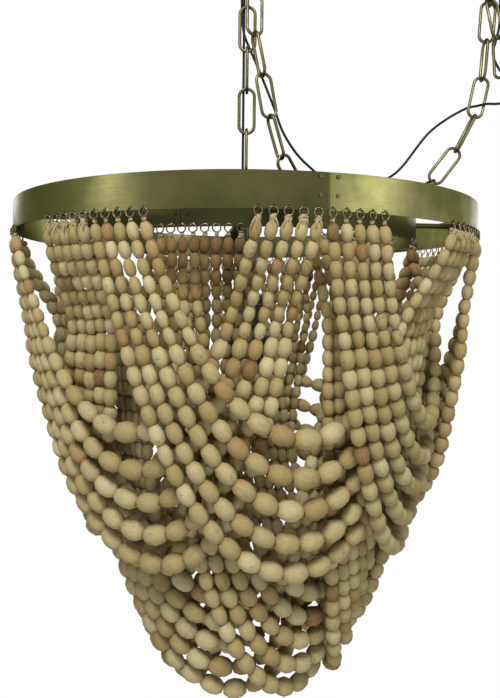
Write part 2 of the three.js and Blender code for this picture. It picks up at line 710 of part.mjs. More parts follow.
// Hub eye: a forged ring on a neck that goes through both plates
const eyePoints = [];
for (let i = 0; i < fineSteps; i += 1) {
  const angle = (2 * Math.PI * i) / fineSteps;
  const height = lift(hubEye.centre) + hubEye.ring * Math.sin(angle);
  eyePoints.push(new THREE.Vector3(hubEye.ring * Math.cos(angle), 0, height));
}
const axisPoint = (height) => new THREE.Vector3(0, 0, lift(height));
addPiece('hub_eye', joined([
  loopTube(eyePoints.filter((_, i) => i % 2 === 0), new THREE.Vector3(0, 1, 0), hubEye.wire, linkSides),
  rod(axisPoint(hubEye.shankLow), axisPoint(hubEye.neckTop), hubEye.neck, smallSteps),
  rod(axisPoint(nippleLow), axisPoint(hubEye.shankLow + gap), nippleRadius, smallSteps),
]), chainBrass);

function nut(radius, bore, low, high, x, y) {
  const body = rod(new THREE.Vector3(x, y, low), new THREE.Vector3(x, y, high), radius, rivetSteps);
  const above = new THREE.Vector3(x, y, high + radius);
  const hole = rod(new THREE.Vector3(x, y, low - radius), above, bore, smallSteps);
  return cut(body, [hole]);
}

addPiece('hub_nut', nut(hubNut.radius, hubNut.bore, lift(hubNut.low), lift(hubNut.high), 0, 0), brass);
addPiece('hub_cord_grip', turned(lifted([[hubGrip.bore, hubGrip.low], [hubGrip.outer, hubGrip.low],
  [hubGrip.outer, hubGrip.high - 1], [hubGrip.outer - 1, hubGrip.high], [hubGrip.bore, hubGrip.high]]),
smallSteps, hubGrip.at[0], hubGrip.at[1]), black);
addPiece('stem_pipe', turned(lifted(stemProfile), fineSteps / 2), brass);
addPiece('stem_lock_nut', turned(lifted(lockProfile), fineSteps / 2), brass);
addPiece('lamp_cap', turned(lifted(capProfile), fineSteps), black);
addPiece('lamp_body', turned(lifted(bodyProfile), fineSteps), black);
addPiece('shade_ring', turned(lifted(shadeRingProfile), fineSteps), black);
addPiece('socket_insert', turned(lifted(insertProfile), fineSteps / 2), china);
addPiece('socket_shell', turned(lifted(shellProfile), fineSteps), brass);
addPiece('socket_contact', turned(lifted(contactProfile), smallSteps), brass);

// Load chain: a threaded quick link on the hook, then four plain links to the hub eye
const upright = new THREE.Vector3(0, 0, 1);
const sleevePiece = nut(sleeve.radius, sleeve.bore, lift(sleeve.low), lift(sleeve.high), 0, -link.bend);
addPiece('quick_link', chainLink(axisPoint(quickLink.centre), upright, 90, quickLink.half), chainBrass);
addPiece('quick_link_sleeve', sleevePiece, brass);
loadLinks.forEach((height, n) => addPiece(`load_link_${n + 1}`, chainLink(
  axisPoint(height), new THREE.Vector3(0, 0, 1), n % 2 === 0 ? 0 : 90, link.half), chainBrass));
addPiece('swag_chain', joined(chain(fittedJoints(swagRoute, swagTwists.length), swagTwists)), chainBrass);
addPiece('spare_chain', joined(chain(fittedJoints(spareRoute, spareTwists.length), spareTwists)), chainBrass);

// Hooks
function hook(x, y, bowlHeight, top, turn) {
  const path = [[0, top], [0, bowlHeight + hookDrop + hookKink + hookTip[1]]];
  path.push([hookShift - hookBend, bowlHeight + hookTip[1]]);
  const arcSteps = 8;
  for (let i = 0; i <= arcSteps; i += 1) {
    const angle = Math.PI + (Math.PI * i) / arcSteps;
    path.push([hookShift + hookBend * Math.cos(angle), bowlHeight + hookBend * Math.sin(angle)]);
  }
  path.push([hookTip[0] + hookShift, bowlHeight + hookTip[1]]);
  const points = path.map(([u, z]) => new THREE.Vector3(x + u * Math.cos(turn), y + u * Math.sin(turn), z));
  return runTube(points, points.map(() => hookWire), smallSteps);
}

const bowlHeight = -gap * 10 - hookDrop;
addPiece('hook_plate', turned(plateProfile, fineSteps), brass);
addPiece('ceiling_hook', hook(0, 0, bowlHeight, -1, 0), chainBrass);

const cupBody = turned(cupProfile, fineSteps, cup.x, cup.y);
const cupHoles = [rod(new THREE.Vector3(cup.x + cupHoleAt[0], cup.y, -hookDrop * 2),
  new THREE.Vector3(cup.x + cupHoleAt[0], cup.y, -hookDrop / 2), cupHole, smallSteps)];
addPiece('ceiling_cup', cut(cupBody, cupHoles), brass);
addPiece('cup_hook', hook(cup.x, cup.y, -cupHook.drop, cupHook.top, -Math.PI / 2), chainBrass);
addPiece('cup_nut', nut(cupNut.radius, cupNut.bore, cupNut.low, cupNut.high, cup.x, cup.y), brass);
addPiece('cup_cord_grip', turned(cordGripProfile, smallSteps, cup.x + cupHoleAt[0], cup.y), black);

// Cord
function cord(route, steps) {
  const points = routeCurve(route).getSpacedPoints(steps);
  return runTube(points, points.map(() => cordRadius), cordSides);
}

addPiece('cord_swag', cord(swagCordRoute, swagCordSteps), black);
addPiece('cord_top', cord(topCordRoute, topCordSteps), black);
const riserRoute = [[-cordCorner, cordCorner, riserHigh], [-cordCorner, cordCorner, riserLow]];
addPiece('cord_riser', cord(riserRoute, riserSteps), black);
addPiece('cord_hub', cord(hubCordRoute, hubCordSteps), black);

export default chandelier;
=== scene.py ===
import math

import bpy
import numpy as np
from mathutils import Matrix, Vector


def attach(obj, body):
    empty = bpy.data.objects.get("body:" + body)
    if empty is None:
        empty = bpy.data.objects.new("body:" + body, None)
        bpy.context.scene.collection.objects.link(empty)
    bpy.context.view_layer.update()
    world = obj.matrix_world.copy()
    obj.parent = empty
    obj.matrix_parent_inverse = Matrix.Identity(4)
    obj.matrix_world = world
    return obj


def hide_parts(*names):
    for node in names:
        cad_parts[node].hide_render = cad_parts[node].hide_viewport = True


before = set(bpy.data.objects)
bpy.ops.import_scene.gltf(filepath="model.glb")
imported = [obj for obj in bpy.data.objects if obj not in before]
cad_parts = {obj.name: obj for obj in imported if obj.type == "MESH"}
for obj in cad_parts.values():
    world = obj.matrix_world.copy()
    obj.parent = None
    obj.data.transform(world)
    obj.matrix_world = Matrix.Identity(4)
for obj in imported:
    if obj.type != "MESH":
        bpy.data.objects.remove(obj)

bl_info = {
    "name": "Beaded Chandelier",
    "version": (1, 0, 0),
    "blender": (4, 5, 0),
    "location": "View3D > Sidebar > Chandelier",
    "description": "Dresses a chandelier with wooden bead swags, brass bands, chains and cord",
    "category": "Object",
}

# Sizes shared by the pieces. Heights are above the outer band's bottom edge.
MM = 0.001
HANG_HEIGHT = 355 * MM
GROUPS = 8
STRANDS = 5
RINGS_PER_GROUP = 10

BAND_THICK = 1.8
FIT_GAP = 0.3
CUT = {"overrun": 5, "depth": 10, "seam": 0.35}
OUTER_BAND = {"radius": 249, "low": 0, "high": 30, "seam": 15}
INNER_BAND = {"radius": 187, "low": -6, "high": 24, "seam": -17.5}
RING_HOLE = {"radius": 1.1, "height": 2.6}
JUMP_RING = {"radius": 3.6, "wire": 0.7, "turn": 80, "hang": 1.4, "outward": 1.5}
SPOKE = {"azimuth": 7, "count": 4, "low": 20, "high": 24}
NOTCH = {"width": 17, "floor": 19.6}
CLIP = {"width": 10, "thick": 1.5, "foot": 12, "drop": 11, "stud": 1.2, "head": 2.4, "head_high": 1}

OUTER_SWAG = {
    "band": OUTER_BAND, "radius": 249, "start": -9, "azimuth": 14.3, "half_angle": 32.85, "pitch": 2.7,
    "drops": [185, 219, 249, 280, 310], "shift": 17, "fade": 105,
    "small": 10.3, "medium": 13, "large": 19, "small_run": 100,
    "heights": [0, -9, -31, -57, -82, -131, -183, -234, -288, -315], "outside": 0.5, "browning_and_shade": 0.04,
    "radii": [249, 249, 245, 238, 232, 224, 214, 204, 188, 178],
}
# The inner tier's strong darkening near its knots is mostly painted shade on its upper beads, partly browner
# wood.
INNER_SWAG = {
    "band": INNER_BAND, "radius": 187, "start": -15, "azimuth": -12.3, "half_angle": 46.6, "pitch": 3.17,
    "drops": [350, 377, 402, 430, 460], "shift": 17.5, "fade": 88,
    "small": 10, "medium": 12, "large": 18.5, "small_run": 130,
    "heights": [0, -15, -60, -120, -180, -240, -300, -354, -404, -430, -460], "outside": 0, "browning_and_shade": 0.56,
    "radii": [187, 187, 183, 174, 164, 153, 141, 127, 112, 103, 87],
}
SWAG_ANGLE = 45
SWAG_LEAN = 0.024

LINK = {"half": 25.25, "slack_half": 24.8, "bend": 8.7, "wire": 1.85}
LINK_PITCH = 46.6
PITCH_SPREAD = 3
QUICK_LINK = {"centre": 291.4, "half": 29.5}
LOAD_LINKS = [240.55, 193.95, 147.35, 100.75]
SWAG_ROUTE = [
    (8, 0, 319.8), (8, -12, 273), (8, -18, 227), (17.5, -18, 182), (26.2, -17, 136), (38.7, -13, 93.7),
    (60, 8, 60), (92, 32, 45), (132, 46, 40), (170, 50, 46), (202, 50, 59), (227.3, 50, 80),
    (255.8, 50, 118), (277, 50, 161), (286, 50.5, 205), (290, 52, 250), (294, 54, 296.9),
]
SWAG_TWISTS = [70, -20, 70, -20, 70, -20, 56, 132, 208, 284, 360, 90, 0, 90, 0]
SPARE_ROUTE = [(294, 46, 296.9), (301.5, 41, 250.8), (304, 40, 204)]
SPARE_TWISTS = [-25, 62]

HOOK = {"wire": 2, "bend": 12, "shift": 4, "kink": 14.8, "tip": (13, 4.5), "top": -1}
CUP = {"x": 294, "y": 54, "hole": 14, "hook_drop": 50, "hook_top": -15}
HOOK_BOWL = -27.3

CORD_RADIUS = 1.5
TOP_CORD_ROUTE = [
    (-3.9, -4.2, 315.9), (-3.9, -3.9, 304), (-3.9, 0, 292), (-3.9, 3.9, 279), (-3.9, 3.9, 262.1),
]
RISER_ROUTE = [(-3.9, 3.9, 261.4), (-3.9, 3.9, 167), (-3.9, 3.9, 73.3)]
HUB_CORD_ROUTE = [(-3.9, 3.9, 73), (-3.9, 3.9, 64), (-6.6, 6.6, 50), (-8.8, 8.8, 38), (-8.8, 8.8, 28.5)]
SWAG_CORD_ROUTE = [
    (-3.9, -4.2, 316.6), (-3.8, -4.3, 322.2), (-3.6, -3.1, 325.7), (-3.4, 0.1, 327.2), (-3.6, 3.2, 325.7),
    (-4.2, 4.8, 322), (-6, 9, 303), (-6.7, 13, 280), (-4.4, 17, 244.6), (1.4, 18, 228.7),
    (10.8, 18, 207.7), (18.8, 18, 189), (32.9, 19, 154.4), (42.3, 20, 130),
    (58.7, 21, 104.6), (76.4, 22, 87.4), (100, 25, 70.5), (124, 28, 66), (151, 32, 71), (174.4, 36, 83),
    (185.6, 38, 93), (219.5, 45, 136), (243, 52, 155), (262, 55, 166.5), (271, 55, 170.6),
    (280, 51.5, 171.6), (289, 45.4, 172.3), (303, 45, 172.5), (320, 47, 177), (327, 50, 190),
    (320, 54, 205), (308.5, 56.5, 218.5), (301, 57.5, 238), (304.5, 57.5, 253), (308, 56, 272),
    (308, 54, 300), (308, 54, 330),
]

LAMP_PROFILES = {
    "stem_pipe": [(3.4, 12.3), (5, 12.3), (5, -57.6), (3.4, -57.6)],
    "stem_lock_nut": [(5.3, -48), (9, -48), (10, -49), (10, -57.3), (5.3, -57.3)],
    "lamp_cap": [(5.3, -60.2), (8, -60.2), (19, -61), (21, -63), (21, -72), (16.5, -72), (16.5, -66),
                 (3.6, -66), (3.6, -57.9), (5.3, -57.9)],
    "lamp_body": [(19, -72.3), (21, -72.3), (22, -74), (22, -139), (20.6, -140), (17, -140), (17, -76),
                  (16, -76), (16, -72.3)],
    "shade_ring": [(22.4, -107), (25, -107), (31, -109), (31, -117), (25, -119), (22.4, -119)],
    "socket_insert": [(0, -78), (15.6, -78), (15.6, -96), (14, -98), (0, -98)],
    "socket_shell": [(13, -98.3), (15.4, -98.3), (15.4, -136), (16, -137.4), (14.6, -137.4), (14.2, -136),
                     (14.2, -99.5), (13, -99.5)],
    "socket_contact": [(0, -98.3), (4, -98.3), (4, -101), (2.5, -103), (0, -103)],
}
HOOK_PLATE_PROFILE = [(2.3, -0.7), (0, -0.7), (0, 0), (17, 0), (17, -2), (16, -3), (2.3, -3)]
CUP_PROFILE = [(40, 0), (50, 0), (50, -15), (47, -20), (38, -23.5), (22, -25), (2.4, -25), (2.4, -23.6),
               (21.5, -23.6), (37, -22.2), (45.6, -19), (48.6, -14.5), (48.6, -1.4), (40, -1.4)]
CORD_GRIP_PROFILE = [(1.9, -32), (4.2, -32), (5, -31), (5, -25.3), (3.3, -25.3), (3.3, -20), (1.9, -20)]
HUB_GRIP_AT = (-8.8, 8.8)
HUB_GRIP_PROFILE = [(1.9, 26.9), (4, 26.9), (4, 34), (3, 35), (1.9, 35)]
HUB_EYE = {"ring": 11, "wire": 2, "centre": 68.3, "neck": 3.5, "neck_top": 58, "shank_low": 12.6,
           "nipple": 3, "nipple_low": 2}

CAMERA = {
    "focal_px": 659, "axis_px": 244.8, "horizon_px": 305.3,
    "distance": 0.75, "height": -73.5, "roll": 0.55,
}
FRAME_SIZE = (500, 698)

DULL_SHINE = 0.12
# Painted reflection beside the band's seam: degrees it reaches before and after the seam, its plain level,
# and its stops.
SEAM_REFLECTION = {
    "before": 40, "after": 50, "plain": 0.44,
    "stops": [(0.14, 0.24), (0.442, 0.18), (0.446, 0.78), (0.75, 0.8)],
}
BEAD_CUT = 0.44
BEAD_BORE = {"rim": 0.14, "taper": 0.015, "depth": 0.16}
# Painted shade at each bead's ends and deeper in its bore: where the ends start, the bore's radius, and how
# much darker each is made.
BEAD_END_SHADE = {"end": 0.3, "bore": 0.15, "in_bore": 0.6, "at_end": 0.14}
BEAD_TONES = {"dark": (0.012, 0.14, 0.26), "warm": (0.055, 0.3, 0.42), "usual": (0.7, 0.13), "browning_and_shade_run": 60}
KNOT = {"drop": 6.6, "frayed": (1.3, 1.7), "neat": (0.85, 1.0), "frays": 6, "neat_tail": 0.4}
FRAY_RADII = np.array((1.1, 1.1, 0.8, 0.3))


def lift(height):
    """A height in millimetres above the outer band's bottom edge, as metres below the ceiling."""
    return height * MM - HANG_HEIGHT


def place(radius, azimuth, height):
    return Vector((radius * MM * math.sin(azimuth), -radius * MM * math.cos(azimuth), lift(height)))


# Properties
class ChandelierSizes(bpy.types.PropertyGroup):
    band_facets: bpy.props.IntProperty(
        name="Band facets", description="Flat faces round each brass band", default=176, min=24)
    bead_spread: bpy.props.FloatProperty(
        name="Bead spread", description="How far bead diameters vary from the string's own size",
        default=0.045, min=0.0, max=0.2, subtype="FACTOR")
    bead_tilt: bpy.props.FloatProperty(
        name="Bead tilt", description="How far beads tilt on their thread", default=math.radians(3.5),
        min=0.0, unit="ROTATION")
    bead_gap: bpy.props.FloatProperty(
        name="Bead gap", description="Thread that shows between two beads", default=0.25 * MM,
        unit="LENGTH")
    thread: bpy.props.FloatProperty(
        name="Thread", description="Radius of the jute thread", default=0.9 * MM, unit="LENGTH")
    tail: bpy.props.FloatProperty(
        name="Knot tail", description="Length of the frayed ends at a knot", default=9 * MM, unit="LENGTH")
    seed: bpy.props.IntProperty(name="Seed", description="Fixes the beads' variation", default=7)


def colour(name, description, default):
    return bpy.props.FloatVectorProperty(
        name=name, description=description, default=default, subtype="COLOR")


class ChandelierColours(bpy.types.PropertyGroup):
    bead_light: colour("Light wood", "Palest beads", (0.575, 0.485, 0.275))
    bead_middle: colour("Middle wood", "Most of the beads", (0.375, 0.288, 0.122))
    bead_warm: colour("Warm wood", "Orange-brown beads", (0.33, 0.21, 0.09))
    bead_dark: colour("Dark wood", "Darkest beads and knots in the wood", (0.14, 0.075, 0.03))
    jute: colour("Jute", "Thread and knots", (0.48, 0.375, 0.20))
    band: colour("Band brass", "Brushed antique brass", (0.15, 0.138, 0.056))
    band_dark: colour("Band patina", "Its darker, greener places", (0.058, 0.064, 0.02))
    iron: colour("Dark brass", "Clips, spokes and hub", (0.085, 0.08, 0.033))
    chain: colour("Chain bronze", "Chains and hooks", (0.135, 0.125, 0.062))
    cord: colour("Cord", "Textile covered cord", (0.007, 0.007, 0.007))
    lamp: colour("Lamp holder", "Matt black lamp holder", (0.018, 0.018, 0.019))


# Shader node groups and materials
def feed(tree, node, inputs):
    """Links the sockets among a node's inputs, and sets the others as values."""
    for slot, value in inputs.items():
        if isinstance(value, bpy.types.NodeSocket):
            tree.links.new(value, node.inputs[slot])
        else:
            node.inputs[slot].default_value = value


def put(tree, kind, inputs, **settings):
    """Adds a shader node of this kind, with its settings and its inputs."""
    node = tree.nodes.new(f"ShaderNode{kind}")
    for name, value in settings.items():
        setattr(node, name, value)
    feed(tree, node, inputs)
    return node


def new_group(name, inputs, outputs):
    group = bpy.data.node_groups.new(name, "ShaderNodeTree")
    for label, kind, value in inputs:
        socket = group.interface.new_socket(label, in_out="INPUT", socket_type=kind)
        if value is not None:
            socket.default_value = value
    for label, kind in outputs:
        group.interface.new_socket(label, in_out="OUTPUT", socket_type=kind)
    return group, group.nodes.new("NodeGroupInput").outputs, group.nodes.new("NodeGroupOutput")


def brushed_metal_group():
    """Fine lines along a brushed surface, and the slow patches of its patina."""
    group, given, out = new_group(
        "brushed_metal",
        [("Lines At", "NodeSocketVector", None), ("Patches At", "NodeSocketVector", None),
         ("Patch Scale", "NodeSocketFloat", 14.0), ("Bright", "NodeSocketColor", (0.3, 0.28, 0.13, 1)),
         ("Dull", "NodeSocketColor", (0.17, 0.16, 0.08, 1)), ("Line Strength", "NodeSocketFloat", 0.35),
         ("Smooth", "NodeSocketFloat", 0.3), ("Rough", "NodeSocketFloat", 0.5)],
        [("Colour", "NodeSocketColor"), ("Roughness", "NodeSocketFloat"), ("Height", "NodeSocketFloat")])
    lines = put(group, "TexNoise", {"Vector": given["Lines At"], "Scale": 1.0, "Detail": 4.0})
    patches = put(group, "TexNoise", {
        "Vector": given["Patches At"], "Scale": given["Patch Scale"], "Detail": 5.0, "Roughness": 0.6})
    spread = put(group, "MapRange", {"Value": patches.outputs["Fac"], "From Min": 0.36, "From Max": 0.66})
    weigh = put(group, "Math", {0: lines.outputs["Fac"], 1: given["Line Strength"]}, operation="MULTIPLY")
    total = put(group, "Math", {0: spread.outputs["Result"], 1: weigh.outputs[0]},
                operation="ADD", use_clamp=True)
    dullness = put(group, "Math", {0: total.outputs[0], 1: 0.18}, operation="SUBTRACT", use_clamp=True)
    mix = put(group, "Mix", {"Factor": dullness.outputs[0], "A": given["Bright"], "B": given["Dull"]},
              data_type="RGBA")
    rough = put(group, "MapRange", {
        "Value": dullness.outputs[0], "To Min": given["Smooth"], "To Max": given["Rough"]})
    feed(group, out, {"Colour": mix.outputs["Result"], "Roughness": rough.outputs["Result"],
                      "Height": lines.outputs["Fac"]})
    return group


def speckle_group():
    """Small light and dark specks over a surface, as dust, pores or moulding grain."""
    group, given, out = new_group(
        "speckle",
        [("At", "NodeSocketVector", None), ("Scale", "NodeSocketFloat", 900.0),
         ("Base", "NodeSocketColor", (0.5, 0.5, 0.5, 1)), ("Speck", "NodeSocketColor", (0.6, 0.6, 0.6, 1)),
         ("Amount", "NodeSocketFloat", 0.3)],
        [("Colour", "NodeSocketColor"), ("Roughness", "NodeSocketFloat"), ("Height", "NodeSocketFloat")])
    specks = put(group, "TexNoise", {"Vector": given["At"], "Scale": given["Scale"], "Detail": 3.0})
    weigh = put(group, "Math", {0: specks.outputs["Fac"], 1: given["Amount"]}, operation="MULTIPLY")
    mix = put(group, "Mix", {"Factor": weigh.outputs[0], "A": given["Base"], "B": given["Speck"]},
              data_type="RGBA")
    rough = put(group, "MapRange", {"Value": specks.outputs["Fac"], "To Min": 0.45, "To Max": 0.65})
    feed(group, out, {"Colour": mix.outputs["Result"], "Roughness": rough.outputs["Result"],
                      "Height": specks.outputs["Fac"]})
    return group


def new_material(name):
    material = bpy.data.materials.new(name)
    material.use_nodes = True
    return material, material.node_tree, material.node_tree.nodes["Principled BSDF"]


def add_bump(tree, shader, height, strength, distance):
    bump = put(tree, "Bump", {"Height": height, "Strength": strength, "Distance": distance})
    feed(tree, shader, {"Normal": bump.outputs["Normal"]})


def paint_seam_reflection(tree, where, colour, seam):
    """Painted reflection: darker colour to the left of a band's seam and brighter colour to its right, where
    the band's two ends meet at slightly different angles and catch the lamps differently.
    """
    split = put(tree, "SeparateXYZ", {"Vector": where.outputs["Object"]})
    forward = put(tree, "Math", {0: split.outputs["Y"], 1: -1.0}, operation="MULTIPLY")
    turn = put(tree, "Math", {0: split.outputs["X"], 1: forward.outputs[0]}, operation="ARCTAN2")
    along = put(tree, "MapRange", {
        "Value": turn.outputs[0], "From Min": math.radians(seam - SEAM_REFLECTION["before"]),
        "From Max": math.radians(seam + SEAM_REFLECTION["after"])})
    ramp = put(tree, "ValToRGB", {"Fac": along.outputs["Result"]})
    plain = SEAM_REFLECTION["plain"]
    for end, element in zip((0, 1), ramp.color_ramp.elements):
        element.position = end
        element.color = (plain, plain, plain, 1)
    for spot, shade in SEAM_REFLECTION["stops"]:
        ramp.color_ramp.elements.new(spot).color = (shade, shade, shade, 1)
    strength = put(tree, "MapRange", {"Value": ramp.outputs["Color"], "To Min": 0.3, "To Max": 1.9})
    scaled = put(tree, "VectorMath", {0: colour, "Scale": strength.outputs["Result"]}, operation="SCALE")
    return scaled.outputs["Vector"]


def metal_material(name, bright, dull, smooth, rough, line_scale, patch_scale,
                   bump=0.00004, rim=0.35, by_uv=False, seam=None):
    material, tree, shader = new_material(name)
    where = put(tree, "TexCoord", {})
    stretch = put(tree, "Mapping", {
        "Vector": where.outputs["UV" if by_uv else "Object"], "Scale": line_scale})
    effect = put(tree, "Group", {
        "Lines At": stretch.outputs["Vector"], "Patches At": where.outputs["Object"],
        "Patch Scale": patch_scale, "Line Strength": 0.55 if by_uv else 0.35,
        "Bright": (*bright, 1), "Dull": (*dull, 1), "Smooth": smooth, "Rough": rough,
    }, node_tree=bpy.data.node_groups["brushed_metal"])
    colour = effect.outputs["Colour"]
    # Painted reflection either side of the seam is multiplied into the metal's colour.
    if seam is not None:
        colour = paint_seam_reflection(tree, where, colour, seam)
    feed(tree, shader, {"Base Color": colour, "Roughness": effect.outputs["Roughness"],
                        "Metallic": 1.0, "Specular Tint": (rim, rim, rim, 1)})
    add_bump(tree, shader, effect.outputs["Height"], 0.2, bump)
    return material


def speckled_material(name, base, speck, scale, amount, bump, sheen=0.0):
    material, tree, shader = new_material(name)
    where = put(tree, "TexCoord", {})
    effect = put(tree, "Group", {
        "At": where.outputs["Object"], "Scale": scale, "Base": (*base, 1), "Speck": (*speck, 1),
        "Amount": amount,
    }, node_tree=bpy.data.node_groups["speckle"])
    feed(tree, shader, {
        "Base Color": effect.outputs["Colour"], "Roughness": effect.outputs["Roughness"],
        "Sheen Weight": sheen, "Specular IOR Level": DULL_SHINE})
    add_bump(tree, shader, effect.outputs["Height"], 0.35, bump)
    return material


def bead_wood_material(colours):
    """Raw turned wood: each bead has a tone of its own, long grain, darker pores and a few knots."""
    material, tree, shader = new_material("bead_wood")
    at = put(tree, "Attribute", {}, attribute_name="bead_at").outputs["Vector"]
    tone = put(tree, "Attribute", {}, attribute_name="bead_tone").outputs["Fac"]
    long_grain = put(tree, "Mapping", {"Vector": at, "Scale": (420, 420, 60)})
    grain = put(tree, "TexNoise", {"Vector": long_grain.outputs["Vector"], "Scale": 1.6, "Detail": 4.0})
    fine_grain = put(tree, "Mapping", {"Vector": at, "Scale": (1500, 1500, 260)})
    pores = put(tree, "TexNoise", {"Vector": fine_grain.outputs["Vector"], "Scale": 1.2, "Detail": 2.0})
    streaks = put(tree, "MapRange", {
        "Value": grain.outputs["Fac"], "From Min": 0.3, "From Max": 0.7, "To Min": -0.1, "To Max": 0.08})
    total = put(tree, "Math", {0: tone, 1: streaks.outputs["Result"]}, operation="ADD", use_clamp=True)
    ramp = put(tree, "ValToRGB", {"Fac": total.outputs[0]})
    darkest, palest = ramp.color_ramp.elements
    darkest.color = (*colours.bead_dark, 1)
    palest.color = (*colours.bead_light, 1)
    ramp.color_ramp.elements.new(0.28).color = (*colours.bead_warm, 1)
    ramp.color_ramp.elements.new(0.55).color = (*colours.bead_middle, 1)
    dark_pores = put(tree, "MapRange", {
        "Value": pores.outputs["Fac"], "From Min": 0.6, "From Max": 0.76, "To Max": 0.4})
    knots = put(tree, "TexNoise", {"Vector": at, "Scale": 170, "Detail": 3.0})
    dark_knots = put(tree, "MapRange", {
        "Value": knots.outputs["Fac"], "From Min": 0.63, "From Max": 0.8, "To Max": 0.75})
    darker = put(tree, "Math", {0: dark_pores.outputs["Result"], 1: dark_knots.outputs["Result"]},
                 operation="MAXIMUM")
    shade = put(tree, "Mix", {"Factor": darker.outputs[0], "A": ramp.outputs["Color"],
                              "B": (*colours.bead_dark, 1)}, data_type="RGBA")
    rough = put(tree, "MapRange", {"Value": grain.outputs["Fac"], "To Min": 0.55, "To Max": 0.8})
    feed(tree, shader, {"Base Color": shade.outputs["Result"], "Roughness": rough.outputs["Result"],
                        "Specular IOR Level": DULL_SHINE})
    add_bump(tree, shader, pores.outputs["Fac"], 0.3, 0.0004)
    return material


def darkened(colour, share):
    return [channel * share for channel in colour]


def make_materials(colours):
    brushed_metal_group()
    speckle_group()
    bead_wood_material(colours)
    metal_material("brushed_band", colours.band, colours.band_dark, 0.3, 0.42, (25, 40, 1), 13,
                   bump=0.00001, rim=0.4, by_uv=True, seam=OUTER_BAND["seam"])
    metal_material("patina_brass", colours.iron, darkened(colours.iron, 0.55), 0.36, 0.55, (40, 40, 900), 22)
    metal_material("chain_bronze", colours.chain, darkened(colours.chain, 0.5), 0.3, 0.48, (70, 70, 70), 45,
                   bump=0.00001)
    metal_material("plain_brass", colours.band, colours.band_dark, 0.3, 0.42, (60, 60, 400), 22)
    metal_material("ring_wire", (0.17, 0.155, 0.095), (0.08, 0.07, 0.04), 0.25, 0.4, (160, 160, 160), 45)
    metal_material("socket_brass", (0.52, 0.40, 0.16), (0.32, 0.24, 0.10), 0.25, 0.4, (60, 60, 700), 30)
    speckled_material("jute_twine", colours.jute, darkened(colours.jute, 0.55), 1400, 0.9, 0.0005, sheen=0.1)
    speckled_material("cord_textile", colours.cord, (0.02, 0.02, 0.021), 900, 0.7, 0.0002)
    speckled_material("matt_black", colours.lamp, (0.04, 0.04, 0.042), 1600, 0.5, 0.0001)
    speckled_material("glazed_white", (0.76, 0.73, 0.66), (0.66, 0.63, 0.56), 300, 0.4, 0.00005)


# Mesh helpers
def deselect_all():
    if bpy.context.object and bpy.context.object.mode != "OBJECT":
        bpy.ops.object.mode_set(mode="OBJECT")
    bpy.ops.object.select_all(action="DESELECT")


def make_active(piece):
    deselect_all()
    piece.select_set(True)
    bpy.context.view_layer.objects.active = piece


def set_in_place(piece):
    """Moves the object's place into its mesh, so that its origin is the room's."""
    make_active(piece)
    bpy.ops.object.transform_apply(location=True, rotation=True, scale=True)


def primitive(kind, **sizes):
    deselect_all()
    getattr(bpy.ops.mesh, f"primitive_{kind}_add")(**sizes)
    piece = bpy.context.object
    set_in_place(piece)
    return piece


def add_piece(name, points, edges, faces):
    mesh = bpy.data.meshes.new(name)
    mesh.from_pydata(points, edges, faces)
    piece = bpy.data.objects.new(name, mesh)
    bpy.context.scene.collection.objects.link(piece)
    return piece


def smooth(piece, angle=35):
    make_active(piece)
    bpy.ops.object.shade_smooth_by_angle(angle=math.radians(angle))


def apply_modifier(piece, kind, **settings):
    make_active(piece)
    modifier = piece.modifiers.new(kind.lower(), kind)
    for key, value in settings.items():
        setattr(modifier, key, value)
    bpy.ops.object.modifier_apply(modifier=modifier.name)


def dress(piece, body, material, slot, *nodes):
    """Gives the piece its finish and its body, and says which solids it stands for."""
    piece.data.materials.clear()
    piece.data.materials.append(bpy.data.materials[material])
    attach(piece, body)
    if nodes:
        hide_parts(*nodes)
    return piece


def dress_node(node, material):
    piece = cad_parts[node]
    piece.data.materials.clear()
    piece.data.materials.append(bpy.data.materials[material])


def copy_of(piece, name, matrix):
    """A copy with a mesh of its own, put where the matrix says."""
    copy = piece.copy()
    copy.data = piece.data.copy()
    copy.name = copy.data.name = name
    bpy.context.scene.collection.objects.link(copy)
    copy.data.transform(matrix)
    return copy


def join(name, pieces):
    deselect_all()
    for piece in pieces:
        piece.select_set(True)
    bpy.context.view_layer.objects.active = pieces[0]
    bpy.ops.object.join()
    joined = bpy.context.view_layer.objects.active
    joined.name = joined.data.name = name
    return joined


def remove(piece):
    mesh = piece.data
    bpy.data.objects.remove(piece)
    bpy.data.meshes.remove(mesh)


def points_and_faces(piece):
    """What a pattern's mesh holds. The pattern itself is removed."""
    verts = np.array([v.co[:] for v in piece.data.vertices])
    faces = [tuple(face.vertices) for face in piece.data.polygons]
    remove(piece)
    return verts, faces


def turned(name, profile, steps=48, x=0.0, y=0.0, above_ceiling=False):
    """A profile of radius and height, spun round an upright axis."""
    height = (lambda z: z * MM) if above_ceiling else lift
    points = [(x * MM + r * MM, y * MM, height(z)) for r, z in profile]
    count = len(points)
    edges = [(i, (i + 1) % count) for i in range(count)
             if profile[i][0] > 0 or profile[(i + 1) % count][0] > 0]
    piece = add_piece(name, points, edges, [])
    make_active(piece)
    bpy.ops.object.mode_set(mode="EDIT")
    bpy.ops.mesh.select_all(action="SELECT")
    bpy.ops.mesh.spin(steps=steps, angle=2 * math.pi, center=(x * MM, y * MM, 0), axis=(0, 0, 1))
    bpy.ops.mesh.select_all(action="SELECT")
    bpy.ops.mesh.remove_doubles(threshold=1e-6)
    bpy.ops.mesh.normals_make_consistent(inside=False)
    bpy.ops.object.mode_set(mode="OBJECT")
    smooth(piece)
    return piece


